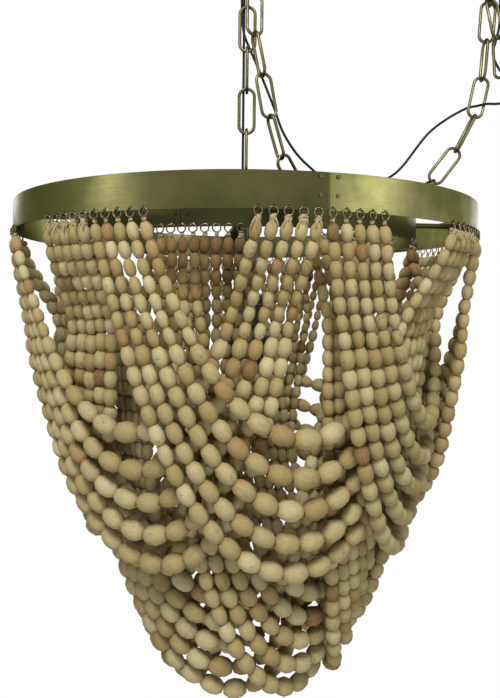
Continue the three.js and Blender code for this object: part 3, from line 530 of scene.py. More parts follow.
def frames_along(points):
    """Tangents and two sideways directions that turn as little as they can along a line of points."""
    points = np.asarray(points)
    tangents = np.gradient(points, axis=0)
    tangents /= np.linalg.norm(tangents, axis=1)[:, None]
    side = np.cross(tangents[0], (0.31, 0.87, 0.38))
    side /= np.linalg.norm(side)
    sides = []
    for tangent in tangents:
        side = side - tangent * np.dot(side, tangent)
        side /= np.linalg.norm(side)
        sides.append(side)
    sides = np.array(sides)
    return tangents, sides, np.cross(tangents, sides)


def tube_faces(points, radii, sides):
    """Points and faces of a closed tube along a line, for from_pydata."""
    points = np.asarray(points)
    _, one, two = frames_along(points)
    angles = np.arange(sides) * 2 * math.pi / sides
    radii = np.broadcast_to(radii, len(points))
    rings = (points[:, None, :] + radii[:, None, None] * (
        np.cos(angles)[None, :, None] * one[:, None, :] + np.sin(angles)[None, :, None] * two[:, None, :]))
    faces = []
    for i in range(len(points) - 1):
        for k in range(sides):
            m = (k + 1) % sides
            a, b = i * sides, (i + 1) * sides
            faces.append((a + k, a + m, b + m, b + k))
    faces.append(tuple(reversed(range(sides))))
    faces.append(tuple((len(points) - 1) * sides + k for k in range(sides)))
    return rings.reshape(-1, 3), faces


def tube_piece(name, points, radius, sides):
    verts, faces = tube_faces(points, radius, sides)
    piece = add_piece(name, verts.tolist(), [], faces)
    smooth(piece, 50)
    return piece


def route_line(route, step):
    """A smooth line through a route's points, in equal steps."""
    points = np.array([[x * MM, y * MM, lift(z)] for x, y, z in route])
    points = np.vstack([2 * points[0] - points[1], points, 2 * points[-1] - points[-2]])
    line = []
    for i in range(1, len(points) - 2):
        p0, p1, p2, p3 = points[i - 1:i + 3]
        d0, d1, d2 = (max(np.linalg.norm(b - a) ** 0.5, 1e-4) for a, b in ((p0, p1), (p1, p2), (p2, p3)))
        t1 = ((p1 - p0) / d0 - (p2 - p0) / (d0 + d1) + (p2 - p1) / d1) * d1
        t2 = ((p2 - p1) / d1 - (p3 - p1) / (d1 + d2) + (p3 - p2) / d2) * d1
        for t in np.linspace(0, 1, 200, endpoint=False):
            line.append(p1 + t1 * t + (-3 * p1 + 3 * p2 - 2 * t1 - t2) * t ** 2
                        + (2 * p1 - 2 * p2 + t1 + t2) * t ** 3)
    line.append(points[-2])
    return equal_steps(np.array(line), step)


def equal_steps(line, step):
    run = np.concatenate([[0], np.cumsum(np.linalg.norm(np.diff(line, axis=0), axis=1))])
    count = max(2, int(round(run[-1] / step)) + 1)
    at = np.linspace(0, run[-1], count)
    return np.stack([np.interp(at, run, line[:, k]) for k in range(3)], axis=1)


# Bead strings
def profile_radius(swag, height):
    heights, radii = swag["heights"], swag["radii"]
    last = len(heights) - 1
    i = 0
    while i < last - 1 and height < heights[i + 1]:
        i += 1

    def slope(n):
        if n >= last:
            return (radii[n] - radii[n - 1]) / (heights[n] - heights[n - 1])
        if n <= 0:
            return (radii[1] - radii[0]) / (heights[1] - heights[0])
        return (radii[n + 1] - radii[n - 1]) / (heights[n + 1] - heights[n - 1])

    step = heights[i + 1] - heights[i]
    t = (height - heights[i]) / step
    return ((2 * t ** 3 - 3 * t ** 2 + 1) * radii[i] + (t ** 3 - 2 * t ** 2 + t) * step * slope(i)
            + (3 * t ** 2 - 2 * t ** 3) * radii[i + 1] + (t ** 3 - t ** 2) * step * slope(i + 1))


def catenary(span, drop):
    low, high = span / 16, span * 8
    for _ in range(60):
        c = (low + high) / 2
        if c * (math.cosh(span / c) - 1) > drop:
            low = c
        else:
            high = c
    return (low + high) / 2


def strand_line(swag, bay, row, count=420):
    """The line that a string of beads hangs in, from its left knot to its right knot."""
    middle = math.radians(swag["azimuth"] + 360 * bay / GROUPS)
    half = math.radians(swag["half_angle"] + swag["pitch"] * row)
    plane, span = swag["radius"] * math.cos(half), swag["radius"] * math.sin(half)
    drop = swag["drops"][row]
    c = catenary(span, drop + swag["start"])
    reach = c * math.sinh(span / c)
    line = []
    for along in np.linspace(-reach, reach, count):
        x = c * math.asinh(along / c)
        height = -drop + c * (math.cosh(x / c) - 1)
        phi = math.atan2(x, plane)
        fall = min(max((swag["start"] - height) / (swag["fade"] + swag["start"]), 0), 1)
        fade = fall * fall * (3 - 2 * fall)
        inward = math.degrees(phi) / SWAG_ANGLE + swag["outside"]
        radius = profile_radius(swag, height) - swag["shift"] * fade * inward
        at = place(radius, middle + phi, height)
        at.x += SWAG_LEAN * fall * (swag["start"] - height) * MM
        line.append(at)
    return np.array(line)


def bead_sizes(swag, line):
    """Where each bead sits on its line, with its diameter and length."""
    run = np.concatenate([[0], np.cumsum(np.linalg.norm(np.diff(line, axis=0), axis=1))])
    whole = run[-1]
    fine = np.linspace(0, whole, 1200)
    from_end = np.minimum(fine, whole - fine) / MM
    grow = np.clip((from_end - swag["small_run"]) / (whole / MM / 2 - swag["small_run"]), 0, 1)
    wide = np.where(from_end < swag["small_run"], swag["small"],
                    swag["medium"] + (swag["large"] - swag["medium"]) * grow ** 1.5) * MM
    pitch = wide * np.where(from_end < swag["small_run"], 1.42, 1.3)
    counted = np.concatenate([[0], np.cumsum(np.diff(fine) / ((pitch[1:] + pitch[:-1]) / 2))])
    number = int(round(counted[-1]))
    scaled = counted * number / counted[-1]
    edges = np.interp(np.arange(number + 1), scaled, fine)
    centres = (edges[1:] + edges[:-1]) / 2
    return run, centres, np.interp(centres, fine, wide), np.diff(edges)


def model_bead():
    """One bead: a turned barrel with flat ends, each drilled for the thread."""
    deselect_all()
    bpy.ops.mesh.primitive_uv_sphere_add(segments=10, ring_count=6, radius=0.5)
    bead = bpy.context.object
    bead.name = bead.data.name = "bead_pattern"
    bpy.ops.object.mode_set(mode="EDIT")
    for side in (1, -1):
        bpy.ops.mesh.select_all(action="SELECT")
        bpy.ops.mesh.bisect(
            plane_co=(0, 0, side * BEAD_CUT), plane_no=(0, 0, side), use_fill=True, clear_outer=True)
    bpy.ops.object.mode_set(mode="OBJECT")
    for face in bead.data.polygons:
        face.select = abs(face.normal.z) > 0.99
    bpy.ops.object.mode_set(mode="EDIT")
    bpy.ops.mesh.select_mode(type="FACE")
    bpy.ops.mesh.inset(thickness=BEAD_BORE["rim"], depth=0, use_individual=True)
    bpy.ops.mesh.inset(thickness=BEAD_BORE["taper"], depth=-BEAD_BORE["depth"], use_individual=True)
    bpy.ops.object.mode_set(mode="OBJECT")
    bead.data.transform(Matrix.Diagonal((1, 1, 0.5 / BEAD_CUT, 1)))
    barrel = [abs(face.normal.z) < 0.9 for face in bead.data.polygons]
    verts, faces = points_and_faces(bead)
    return verts, faces, barrel


def model_knot():
    """One knot of twine: two turns that cross."""
    turns = [
        primitive("torus", major_segments=8, minor_segments=5, major_radius=1.45 * MM,
                  minor_radius=1.15 * MM, rotation=(math.radians(tilt), math.radians(tilt / 3), 0))
        for tilt in (55, -50)
    ]
    return points_and_faces(join("knot_pattern", turns))


def model_jump_ring():
    return points_and_faces(primitive(
        "torus", major_segments=14, minor_segments=5, major_radius=JUMP_RING["radius"] * MM,
        minor_radius=JUMP_RING["wire"] * MM, rotation=(math.radians(90), 0, 0)))


def turn_about_z(angle):
    c, s = math.cos(angle), math.sin(angle)
    return np.array([[c, -s, 0], [s, c, 0], [0, 0, 1]])


class MeshStore:
    """Gathers many small shapes into one mesh, with a tone and a place of its own on each."""

    def __init__(self):
        self.verts, self.faces, self.kinds, self.smooths, self.tones, self.ats = [], [], [], [], [], []
        self.count = 0

    def add(self, verts, faces, kind, smooths=None, tone=0.5, at=None):
        self.verts.append(verts)
        self.faces.extend(tuple(i + self.count for i in face) for face in faces)
        self.kinds.extend([kind] * len(faces))
        self.smooths.extend(smooths if smooths is not None else [True] * len(faces))
        self.tones.append(np.broadcast_to(tone, len(verts)))
        self.ats.append(verts if at is None else at)
        self.count += len(verts)

    def piece(self, name, materials):
        piece = add_piece(name, np.vstack(self.verts).tolist(), [], self.faces)
        mesh = piece.data
        mesh.polygons.foreach_set("material_index", self.kinds)
        mesh.polygons.foreach_set("use_smooth", self.smooths)
        tone = mesh.attributes.new("bead_tone", "FLOAT", "POINT")
        tone.data.foreach_set("value", np.concatenate(self.tones).astype(np.float32))
        at = mesh.attributes.new("bead_at", "FLOAT_VECTOR", "POINT")
        at.data.foreach_set("vector", np.vstack(self.ats).astype(np.float32).ravel())
        for material in materials:
            mesh.materials.append(bpy.data.materials[material])
        return piece


def bead_tone(swag, from_end, random):
    """How pale one bead is. A few are dark or warm, and strings are darker near their knots: partly browner
    wood, and on the inner tier mostly painted shade for its upper beads, which hang in shadow.
    """
    pick = random.random()
    dark, warm = BEAD_TONES["dark"], BEAD_TONES["warm"]
    if pick < dark[0]:
        tone = random.uniform(*dark[1:])
    elif pick < warm[0]:
        tone = random.uniform(*warm[1:])
    else:
        tone = random.normal(*BEAD_TONES["usual"])
    # Painted shade and browner wood: darker towards a string's knots.
    return tone - swag["browning_and_shade"] * math.exp(-from_end / (BEAD_TONES["browning_and_shade_run"] * MM))


def string_beads(store, swag, bay, row, bead, sizes, random):
    verts, faces, barrel = bead
    # Painted shade: bead ends, and their bores more so, are darkened for the shade between beads and inside
    # the holes.
    from_axis = np.linalg.norm(verts[:, :2], axis=1)
    end_shade = np.where(from_axis < BEAD_END_SHADE["bore"], BEAD_END_SHADE["in_bore"], BEAD_END_SHADE["at_end"])
    painted_shade = np.where(np.abs(verts[:, 2]) > BEAD_END_SHADE["end"], end_shade, 0.0)
    line = strand_line(swag, bay, row)
    run, centres, wides, lengths = bead_sizes(swag, line)
    tangents, one, two = frames_along(line)
    for s, wide, long in zip(centres, wides, lengths):
        at = np.array([np.interp(s, run, line[:, k]) for k in range(3)])
        i = min(int(np.searchsorted(run, s)), len(line) - 1)
        axes = np.stack([one[i], two[i], tangents[i]], axis=1)
        tip = random.normal(0, sizes.bead_tilt / 2, 2)
        lean = np.array([[1, 0, tip[0]], [0, 1, tip[1]], [-tip[0], -tip[1], 1]])
        wide = wide * (1 + random.uniform(-1, 1) * sizes.bead_spread)
        scaled = verts * (wide, wide * (1 + random.uniform(-0.03, 0.03)), long - sizes.bead_gap)
        shape = (turn_about_z(random.uniform(0, 2 * math.pi)) @ scaled.T).T
        tones = np.clip(bead_tone(swag, min(s, run[-1] - s), random), 0.1, 0.95) - painted_shade
        grain_at = scaled + random.uniform(-1, 1, 3)
        store.add(at + (axes @ (lean @ shape.T)).T, faces, 0, barrel, tones, grain_at)
    thread, thread_faces = tube_faces(equal_steps(line, 9 * MM), sizes.thread, 4)
    store.add(thread, thread_faces, 1)


def tie_end(store, band, azimuth, knot, ring, sizes, frayed, random):
    """A jump ring through its hole in the band, with the string's knot under it."""
    at = np.array(place(band["radius"], azimuth, band["low"]))
    hung = np.array(place(band["radius"] + JUMP_RING["outward"], azimuth, band["low"] - JUMP_RING["hang"]))
    turn = turn_about_z(azimuth + math.radians(90 - JUMP_RING["turn"] + random.uniform(-12, 12)))
    store.add(hung + (turn @ ring[0].T).T, ring[1], 2)
    size = random.uniform(*KNOT["frayed" if frayed else "neat"])
    spun = turn_about_z(random.uniform(0, 2 * math.pi))
    low = at - (0, 0, KNOT["drop"] * MM)
    store.add(low + (spun @ (knot[0] * size).T).T, knot[1], 1)
    outward = np.array((math.sin(azimuth), -math.cos(azimuth), 0))
    sideways = np.array((math.cos(azimuth), math.sin(azimuth), 0))
    for _ in range(KNOT["frays"] if frayed else 1):
        reach = sizes.tail * random.uniform(0.6, 1.1) * (1 if frayed else KNOT["neat_tail"])
        lean = sideways * random.uniform(-0.7, 0.7) + outward * random.uniform(0.25, 0.6)
        steps = [low + lean * reach * t - np.array((0, 0, reach * (t * t - 0.1)))
                 for t in (0, 0.35, 0.7, 1)]
        tail, tail_faces = tube_faces(steps, FRAY_RADII * MM, 4)
        store.add(tail, tail_faces, 1)


# Chains and wire
def model_link():
    """One wire link: a ring pulled long, its two straight sides even."""
    link = primitive("torus", major_segments=24, minor_segments=10, major_radius=LINK["bend"] * MM,
                     minor_radius=LINK["wire"] * MM, rotation=(0, 0, math.radians(7.5)))
    link.name = link.data.name = "link_pattern"
    pull = (LINK["half"] - LINK["bend"]) * MM
    bpy.context.tool_settings.mesh_select_mode = (True, False, False)
    for side in (1, -1):
        make_active(link)
        bpy.ops.object.mode_set(mode="EDIT")
        bpy.ops.mesh.select_all(action="DESELECT")
        bpy.ops.object.mode_set(mode="OBJECT")
        for vertex in link.data.vertices:
            vertex.select = vertex.co.y * side > 0
        bpy.ops.object.mode_set(mode="EDIT")
        bpy.ops.transform.translate(value=(0, side * pull, 0))
        bpy.ops.object.mode_set(mode="OBJECT")
    smooth(link, 60)
    return link


def link_matrix(centre, along, twist, half):
    front = Vector((0, 1, 0))
    front = (front - along * front.dot(along)).normalized()
    wide = -along.cross(front)
    turn = math.radians(twist)
    width = wide * math.cos(turn) - front * math.sin(turn)
    normal = along.cross(width).normalized()
    stretch = Matrix.Diagonal((1, half / LINK["half"], 1, 1))
    turned_axes = Matrix((width, along, -normal)).transposed().to_4x4()
    return Matrix.Translation(centre) @ turned_axes @ stretch


def chain_joints(route, count):
    """Places of a chain's joints: equal steps along its route, fitted to a whole number of links."""
    line = route_line(route, 0.1 * MM)

    def walk(pitch):
        joints, start = [line[0]], 0
        for _ in range(count):
            away = np.linalg.norm(line[start:] - joints[-1], axis=1)
            past = np.nonzero(away >= pitch)[0]
            if not len(past):
                return None
            start += int(past[0])
            joints.append(line[start])
        return joints

    low, high = (LINK_PITCH - PITCH_SPREAD) * MM, (LINK_PITCH + PITCH_SPREAD) * MM
    for _ in range(30):
        middle = (low + high) / 2
        low, high = (middle, high) if walk(middle) else (low, middle)
    return [Vector(joint) for joint in walk(low)]


def hook_line(x, y, bowl, top, turn):
    """A hook's wire: down its shank, out to its bowl, half a turn round that and up to its tip."""
    shift, bend, tip = HOOK["shift"], HOOK["bend"], HOOK["tip"]
    path = [(0, top), (0, bowl + HOOK["kink"]), (shift - bend, bowl + tip[1])]
    for angle in np.linspace(math.pi, 2 * math.pi, 13):
        path.append((shift + bend * math.cos(angle), bowl + bend * math.sin(angle)))
    path.append((tip[0] + shift, bowl + tip[1]))
    return np.array([(x + u * math.cos(turn), y + u * math.sin(turn), z) for u, z in path]) * MM


# Operators
class CHANDELIER_OT_stage(bpy.types.Operator):
    """Adds the camera, the soft lamps, the white surroundings and the pale floor"""
    bl_idname = "chandelier.stage"
    bl_label = "Stage"

    def execute(self, context):
        scene = context.scene
        data = bpy.data.cameras.new("viewer_camera")
        data.sensor_width = 36
        data.lens = CAMERA["focal_px"] / FRAME_SIZE[1] * data.sensor_width
        data.shift_x = (FRAME_SIZE[0] / 2 - CAMERA["axis_px"]) / FRAME_SIZE[1]
        data.shift_y = -(FRAME_SIZE[1] / 2 - CAMERA["horizon_px"]) / FRAME_SIZE[1]
        data.clip_start = 0.02
        camera = bpy.data.objects.new("viewer_camera", data)
        camera.location = (0, -CAMERA["distance"], lift(CAMERA["height"]))
        upright = Matrix.Translation(camera.location) @ Matrix.Rotation(math.radians(90), 4, "X")
        camera.matrix_world = upright @ Matrix.Rotation(math.radians(CAMERA["roll"]), 4, "Z")
        scene.collection.objects.link(camera)
        scene.camera = camera

        for name, spot, size, power in (
            ("key_lamp", (-1.6, -0.95, 0.1), 0.52, 5.0),
            ("fill_lamp", (1.45, -1.1, 0.0), 0.56, 5.2),
            ("front_lamp", (-0.15, -1.35, 0.85), 0.6, 29.0),
            ("low_lamp", (0.15, -1.6, -1.05), 0.9, 8.5),
            ("top_lamp", (0.1, -0.2, 1.1), 1.4, 2.0),
            ("back_left_lamp", (-1.3, 1.3, 0.3), 1.0, 12.0),
            ("back_right_lamp", (1.3, 1.3, 0.1), 1.0, 12.0),
        ):
            lamp = bpy.data.lights.new(name, "AREA")
            lamp.energy = power
            lamp.shape = "DISK"
            lamp.size = size
            holder = bpy.data.objects.new(name, lamp)
            holder.location = spot
            aim = Vector((0, 0, -0.5)) - Vector(spot)
            holder.rotation_euler = aim.to_track_quat("-Z", "Y").to_euler()
            scene.collection.objects.link(holder)

        world = bpy.data.worlds.new("white_room")
        world.use_nodes = True
        tree = world.node_tree
        path = put(tree, "LightPath", {})
        seen = put(tree, "Math", {0: path.outputs["Is Camera Ray"], 1: path.outputs["Is Glossy Ray"]},
                   operation="ADD")
        clear = put(tree, "Math", {0: seen.outputs[0], 1: path.outputs["Is Transmission Ray"]},
                    operation="ADD", use_clamp=True)
        strength = put(tree, "MapRange", {"Value": clear.outputs[0], "To Min": 0.03, "To Max": 1.0})
        feed(tree, tree.nodes["Background"], {"Color": (1, 1, 1, 1), "Strength": strength.outputs["Result"]})
        scene.world = world
        scene.view_settings.view_transform = "Standard"

        floor = primitive("circle", vertices=96, radius=1.15, fill_type="NGON", location=(0, 0, -1.75))
        floor.name = floor.data.name = "pale_floor"
        pale = speckled_material("floor_paint", (0.86, 0.86, 0.86), (0.8, 0.8, 0.8), 40, 0.3, 0.0002)
        tree = pale.node_tree
        path = put(tree, "LightPath", {})
        paler = put(tree, "Math", {0: path.outputs["Is Camera Ray"], 1: 0.4}, operation="MULTIPLY")
        feed(tree, tree.nodes["Principled BSDF"], {
            "Emission Color": (1, 1, 1, 1), "Emission Strength": paler.outputs[0]})
        floor.data.materials.append(pale)
        return {"FINISHED"}


class CHANDELIER_OT_cords(bpy.types.Operator):
    """Adds the black supply cord, from the ceiling cup over the hook and down the chain to the hub"""
    bl_idname = "chandelier.cords"
    bl_label = "Cords"

    def execute(self, context):
        for name, node, body, route in (
            ("swag_cord", "cord_swag", "ceiling_fixings", SWAG_CORD_ROUTE[::-1]),
            ("top_cord", "cord_top", "top_link", TOP_CORD_ROUTE),
            ("riser_cord", "cord_riser", "load_chain", RISER_ROUTE),
            ("hub_cord", "cord_hub", "chandelier", HUB_CORD_ROUTE),
        ):
            line = route_line(route, 2.2 * MM)
            piece = tube_piece(name, line, CORD_RADIUS * MM, 12)
            dress(piece, body, "cord_textile", "cord_black", node)
        return {"FINISHED"}


class CHANDELIER_OT_bands(bpy.types.Operator):
    """Adds the two brushed brass bands, drilled for their jump rings"""
    bl_idname = "chandelier.bands"
    bl_label = "Bands"

    def hoop(self, name, band, facets):
        middle = (band["low"] + band["high"]) / 2
        hoop = primitive(
            "cylinder", vertices=facets, radius=(band["radius"] + BAND_THICK / 2) * MM,
            depth=(band["high"] - band["low"]) * MM, end_fill_type="NOTHING",
            location=(0, 0, lift(middle)), rotation=(0, 0, math.radians(1.1)))
        hoop.name = hoop.data.name = name
        bpy.ops.object.mode_set(mode="EDIT")
        bpy.ops.mesh.select_all(action="SELECT")
        bpy.ops.mesh.bisect(plane_co=(0, 0, lift(band["low"] + 7)), plane_no=(0, 0, 1))
        bpy.ops.object.mode_set(mode="OBJECT")
        apply_modifier(hoop, "SOLIDIFY", thickness=BAND_THICK * MM, offset=-1)
        apply_modifier(hoop, "BEVEL", width=0.25 * MM, segments=1, limit_method="ANGLE",
                       angle_limit=math.radians(50))
        return hoop

    def drill(self, hoop, cutters):
        cutter = join("drill_bits", cutters)
        apply_modifier(hoop, "BOOLEAN", object=cutter, operation="DIFFERENCE", solver="EXACT")
        remove(cutter)

    def ring_drills(self, swag):
        band = swag["band"]
        bit = primitive("cylinder", vertices=10, radius=RING_HOLE["radius"] * MM, depth=CUT["depth"] * MM,
                        rotation=(math.radians(90), 0, 0))
        bits = []
        for group in range(GROUPS):
            for k in range(RINGS_PER_GROUP):
                from_middle = k - (RINGS_PER_GROUP - 1) / 2
                angle = swag["azimuth"] + 360 * group / GROUPS + from_middle * swag["pitch"]
                at = Matrix.Rotation(math.radians(angle), 4, "Z") @ Matrix.Translation(
                    (0, -band["radius"] * MM, lift(band["low"] + RING_HOLE["height"])))
                bits.append(copy_of(bit, "drill_bit", at))
        remove(bit)
        return bits

    def block(self, radius, azimuth, low, high, depth, width):
        deselect_all()
        bpy.ops.mesh.primitive_cube_add(size=1, location=(0, -radius * MM, lift((low + high) / 2)))
        block = bpy.context.object
        block.scale = (width * MM, depth * MM, (high - low) * MM)
        set_in_place(block)
        block.data.transform(Matrix.Rotation(azimuth, 4, "Z"))
        return block

    def post(self, radius, azimuth, low, high, wide):
        return primitive("cylinder", vertices=12, radius=wide * MM, depth=(high - low) * MM,
                         location=place(radius, azimuth, (low + high) / 2))

    def add_clips(self, spokes):
        """An angle under each spoke's place on the inner band, with its stud's head on top."""
        clips = []
        top, seat = SPOKE["low"] - FIT_GAP, SPOKE["high"] + FIT_GAP
        wall, thick, width = INNER_BAND["radius"], CLIP["thick"], CLIP["width"]
        leg_at = wall - BAND_THICK / 2 - thick / 2
        stud_at = wall - CLIP["foot"] + width / 3
        for a in spokes:
            clips += [
                self.block(wall - CLIP["foot"] / 2, a, top - thick, top, CLIP["foot"], width),
                self.block(leg_at, a, top - CLIP["drop"], top, thick, width),
                self.post(stud_at, a, top - thick / 2, seat + CLIP["head_high"] / 2, CLIP["stud"]),
                self.post(stud_at, a, seat, seat + CLIP["head_high"], CLIP["head"]),
            ]
        angles = join("band_clips", clips)
        apply_modifier(angles, "BEVEL", width=0.25 * MM, segments=2)
        smooth(angles)
        dress(angles, "chandelier", "patina_brass", "dark_brass")

    def execute(self, context):
        sizes = context.scene.chandelier_sizes
        spokes = [math.radians(SPOKE["azimuth"] + 360 * n / SPOKE["count"]) for n in range(SPOKE["count"])]
        for name, node, swag, material, slot in (
            ("outer_band_hoop", "outer_band", OUTER_SWAG, "brushed_band", "band_brass"),
            ("inner_band_hoop", "inner_band", INNER_SWAG, "brushed_band", "dark_brass"),
        ):
            band = swag["band"]
            hoop = self.hoop(name, band, sizes.band_facets)
            self.drill(hoop, self.ring_drills(swag))
            high = band["high"] + CUT["overrun"]
            cutters = [self.block(band["radius"], math.radians(band["seam"]), band["low"] - CUT["overrun"],
                                  high, CUT["depth"], CUT["seam"])]
            if band is INNER_BAND:
                cutters += [self.block(band["radius"], a, NOTCH["floor"], high, CUT["depth"], NOTCH["width"])
                            for a in spokes]
            self.drill(hoop, cutters)
            smooth(hoop, 30)
            dress(hoop, "chandelier", material, slot, node)
        self.add_clips(spokes)
        for node in ("outer_seam_plate", "inner_seam_plate"):
            dress_node(node, "plain_brass")
        return {"FINISHED"}


class CHANDELIER_OT_bead_swags(bpy.types.Operator):
    """Strings the wooden beads and ties each string to its jump rings"""
    bl_idname = "chandelier.bead_swags"
    bl_label = "Bead swags"

    def execute(self, context):
        sizes = context.scene.chandelier_sizes
        bead, knot, ring = model_bead(), model_knot(), model_jump_ring()
        random = np.random.default_rng(sizes.seed)
        for tier, swag in (("outer", OUTER_SWAG), ("inner", INNER_SWAG)):
            for bay in range(GROUPS):
                store = MeshStore()
                middle = math.radians(swag["azimuth"] + 360 * bay / GROUPS)
                for row in range(STRANDS):
                    string_beads(store, swag, bay, row, bead, sizes, random)
                    half = math.radians(swag["half_angle"] + swag["pitch"] * row)
                    tie_end(store, swag["band"], middle - half, knot, ring, sizes, False, random)
                    tie_end(store, swag["band"], middle + half, knot, ring, sizes, tier == "outer", random)
                piece = store.piece(f"{tier}_bead_swag_{bay + 1}", ("bead_wood", "jute_twine", "ring_wire"))
                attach(piece, "chandelier")
                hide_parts(f"{tier}_swag_{bay + 1}")
        return {"FINISHED"}


class CHANDELIER_OT_chains(bpy.types.Operator):
    """Adds the load chain, the slack chain and its spare end"""
    bl_idname = "chandelier.chains"
    bl_label = "Chains"

    def execute(self, context):
        pattern = model_link()
        up = Vector((0, 0, 1))
        quick = copy_of(pattern, "quick_link_wire", link_matrix(
            Vector((0, 0, lift(QUICK_LINK["centre"]))), up, 90, QUICK_LINK["half"]))
        dress(quick, "top_link", "chain_bronze", "chain_brass", "quick_link")
        dress_node("quick_link_sleeve", "chain_bronze")
        for n, height in enumerate(LOAD_LINKS):
            link = copy_of(pattern, f"load_link_wire_{n + 1}", link_matrix(
                Vector((0, 0, lift(height))), up, 90 * (n % 2), LINK["half"]))
            dress(link, "load_chain", "chain_bronze", "chain_brass", f"load_link_{n + 1}")
        for tier, node, route, twists in (
            ("swag", "swag_chain", SWAG_ROUTE, SWAG_TWISTS),
            ("spare", "spare_chain", SPARE_ROUTE, SPARE_TWISTS),
        ):
            joints = chain_joints(route, len(twists))
            for n, twist in enumerate(twists):
                along = (joints[n] - joints[n + 1]).normalized()
                centre = (joints[n] + joints[n + 1]) / 2
                link = copy_of(pattern, f"{tier}_link_wire_{n + 1}", link_matrix(
                    centre, along, twist, LINK["slack_half"]))
                dress(link, "ceiling_fixings", "chain_bronze", "chain_brass", *([node] if n == 0 else []))
        remove(pattern)
        return {"FINISHED"}


class CHANDELIER_OT_ceiling_fixings(bpy.types.Operator):
    """Adds the hooks, the hook's plate and the ceiling cup"""
    bl_idname = "chandelier.ceiling_fixings"
    bl_label = "Ceiling fixings"

    def execute(self, context):
        for name, node, x, y, bowl, top, turn in (
            ("ceiling_hook_wire", "ceiling_hook", 0, 0, HOOK_BOWL, HOOK["top"], 0),
            ("cup_hook_wire", "cup_hook", CUP["x"], CUP["y"], -CUP["hook_drop"], CUP["hook_top"],
             -math.pi / 2),
        ):
            line = hook_line(x, y, bowl, top, turn)
            wire = tube_piece(name, line, HOOK["wire"] * MM, 12)
            dress(wire, "ceiling_fixings", "chain_bronze", "chain_brass", node)
        plate = turned("hook_plate_disc", HOOK_PLATE_PROFILE, 48, above_ceiling=True)
        dress(plate, "ceiling_fixings", "chain_bronze", "chain_brass", "hook_plate")
        cup = turned("ceiling_cup_shell", CUP_PROFILE, 72, CUP["x"], CUP["y"], above_ceiling=True)
        dress(cup, "ceiling_fixings", "chain_bronze", "chain_brass", "ceiling_cup")
        grip = turned("cup_grip", CORD_GRIP_PROFILE, 32, CUP["x"] + CUP["hole"], CUP["y"],
                      above_ceiling=True)
        dress(grip, "ceiling_fixings", "matt_black", "lamp_black", "cup_cord_grip")
        dress_node("cup_nut", "chain_bronze")
        return {"FINISHED"}


class CHANDELIER_OT_hub(bpy.types.Operator):
    """Adds the hub's eye and grip, and finishes the spokes and plates"""
    bl_idname = "chandelier.hub"
    bl_label = "Hub and spokes"

    def execute(self, context):
        ring = primitive("torus", major_segments=36, minor_segments=12,
                         major_radius=HUB_EYE["ring"] * MM, minor_radius=HUB_EYE["wire"] * MM,
                         location=(0, 0, lift(HUB_EYE["centre"])), rotation=(math.radians(90), 0, 0))
        parts = [ring]
        for low, high, wide in (
            (HUB_EYE["shank_low"], HUB_EYE["neck_top"], HUB_EYE["neck"]),
            (HUB_EYE["nipple_low"], HUB_EYE["shank_low"] + FIT_GAP, HUB_EYE["nipple"]),
        ):
            neck = primitive("cylinder", vertices=24, radius=wide * MM, depth=(high - low) * MM,
                             location=(0, 0, lift((low + high) / 2)))
            apply_modifier(neck, "BEVEL", width=0.4 * MM, segments=2, limit_method="ANGLE")
            parts.append(neck)
        eye = join("hub_eye_ring", parts)
        smooth(eye, 50)
        dress(eye, "chandelier", "chain_bronze", "dark_brass", "hub_eye")
        grip = turned("hub_grip", HUB_GRIP_PROFILE, 32, *HUB_GRIP_AT)
        dress(grip, "chandelier", "matt_black", "lamp_black", "hub_cord_grip")
        for node in ("spoke_1", "spoke_2", "spoke_3", "spoke_4",
                     "hub_top_plate", "hub_bottom_plate", "hub_nut"):
            dress_node(node, "patina_brass")
        return {"FINISHED"}


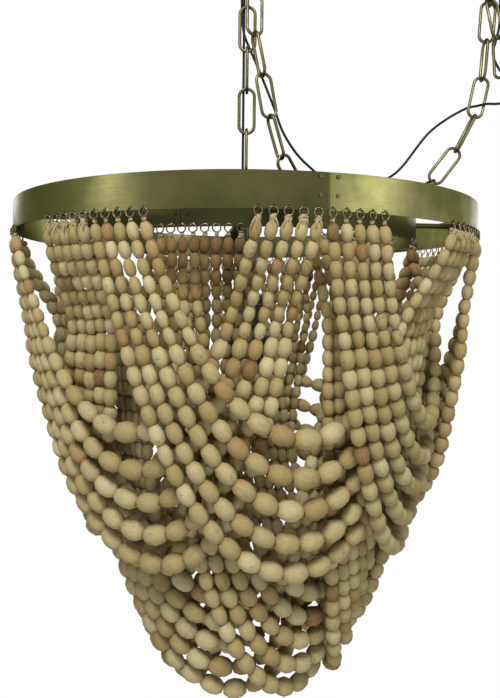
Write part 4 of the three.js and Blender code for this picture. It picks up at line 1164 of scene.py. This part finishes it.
class CHANDELIER_OT_lamp_holder(bpy.types.Operator):
    """Adds the stem and the lamp holder in the middle of the beads"""
    bl_idname = "chandelier.lamp_holder"
    bl_label = "Lamp holder"

    def execute(self, context):
        for node, material, slot in (
            ("stem_pipe", "patina_brass", "dark_brass"), ("stem_lock_nut", "patina_brass", "dark_brass"),
            ("lamp_cap", "matt_black", "lamp_black"), ("lamp_body", "matt_black", "lamp_black"),
            ("shade_ring", "matt_black", "lamp_black"), ("socket_insert", "glazed_white", "porcelain"),
            ("socket_shell", "socket_brass", "socket_metal"),
            ("socket_contact", "socket_brass", "socket_metal"),
        ):
            piece = turned(f"{node}_turned", LAMP_PROFILES[node], 56)
            dress(piece, "chandelier", material, slot, node)
        return {"FINISHED"}


class CHANDELIER_PT_panel(bpy.types.Panel):
    """Lists the chandelier's pieces, its sizes and its colours"""
    bl_idname = "CHANDELIER_PT_panel"
    bl_label = "Beaded Chandelier"
    bl_space_type = "VIEW_3D"
    bl_region_type = "UI"
    bl_category = "Chandelier"

    def draw(self, context):
        column = self.layout.column()
        for operator in OPERATORS:
            column.operator(operator.bl_idname)
        for group in (context.scene.chandelier_sizes, context.scene.chandelier_colours):
            for name in group.__annotations__:
                column.prop(group, name)


OPERATORS = (
    CHANDELIER_OT_stage, CHANDELIER_OT_cords, CHANDELIER_OT_bands, CHANDELIER_OT_bead_swags,
    CHANDELIER_OT_chains, CHANDELIER_OT_ceiling_fixings, CHANDELIER_OT_hub, CHANDELIER_OT_lamp_holder,
)
CLASSES = (ChandelierSizes, ChandelierColours, *OPERATORS, CHANDELIER_PT_panel)


def register():
    for item in CLASSES:
        bpy.utils.register_class(item)
    bpy.types.Scene.chandelier_sizes = bpy.props.PointerProperty(type=ChandelierSizes)
    bpy.types.Scene.chandelier_colours = bpy.props.PointerProperty(type=ChandelierColours)


def unregister():
    del bpy.types.Scene.chandelier_sizes
    del bpy.types.Scene.chandelier_colours
    for item in reversed(CLASSES):
        bpy.utils.unregister_class(item)


def main():
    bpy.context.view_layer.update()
    register()
    make_materials(bpy.context.scene.chandelier_colours)
    bpy.ops.chandelier.stage()
    bpy.ops.chandelier.cords()
    bpy.ops.chandelier.bands()
    bpy.ops.chandelier.bead_swags()
    bpy.ops.chandelier.chains()
    bpy.ops.chandelier.ceiling_fixings()
    bpy.ops.chandelier.hub()
    bpy.ops.chandelier.lamp_holder()
    deselect_all()


if __name__ == "__main__":
    main()
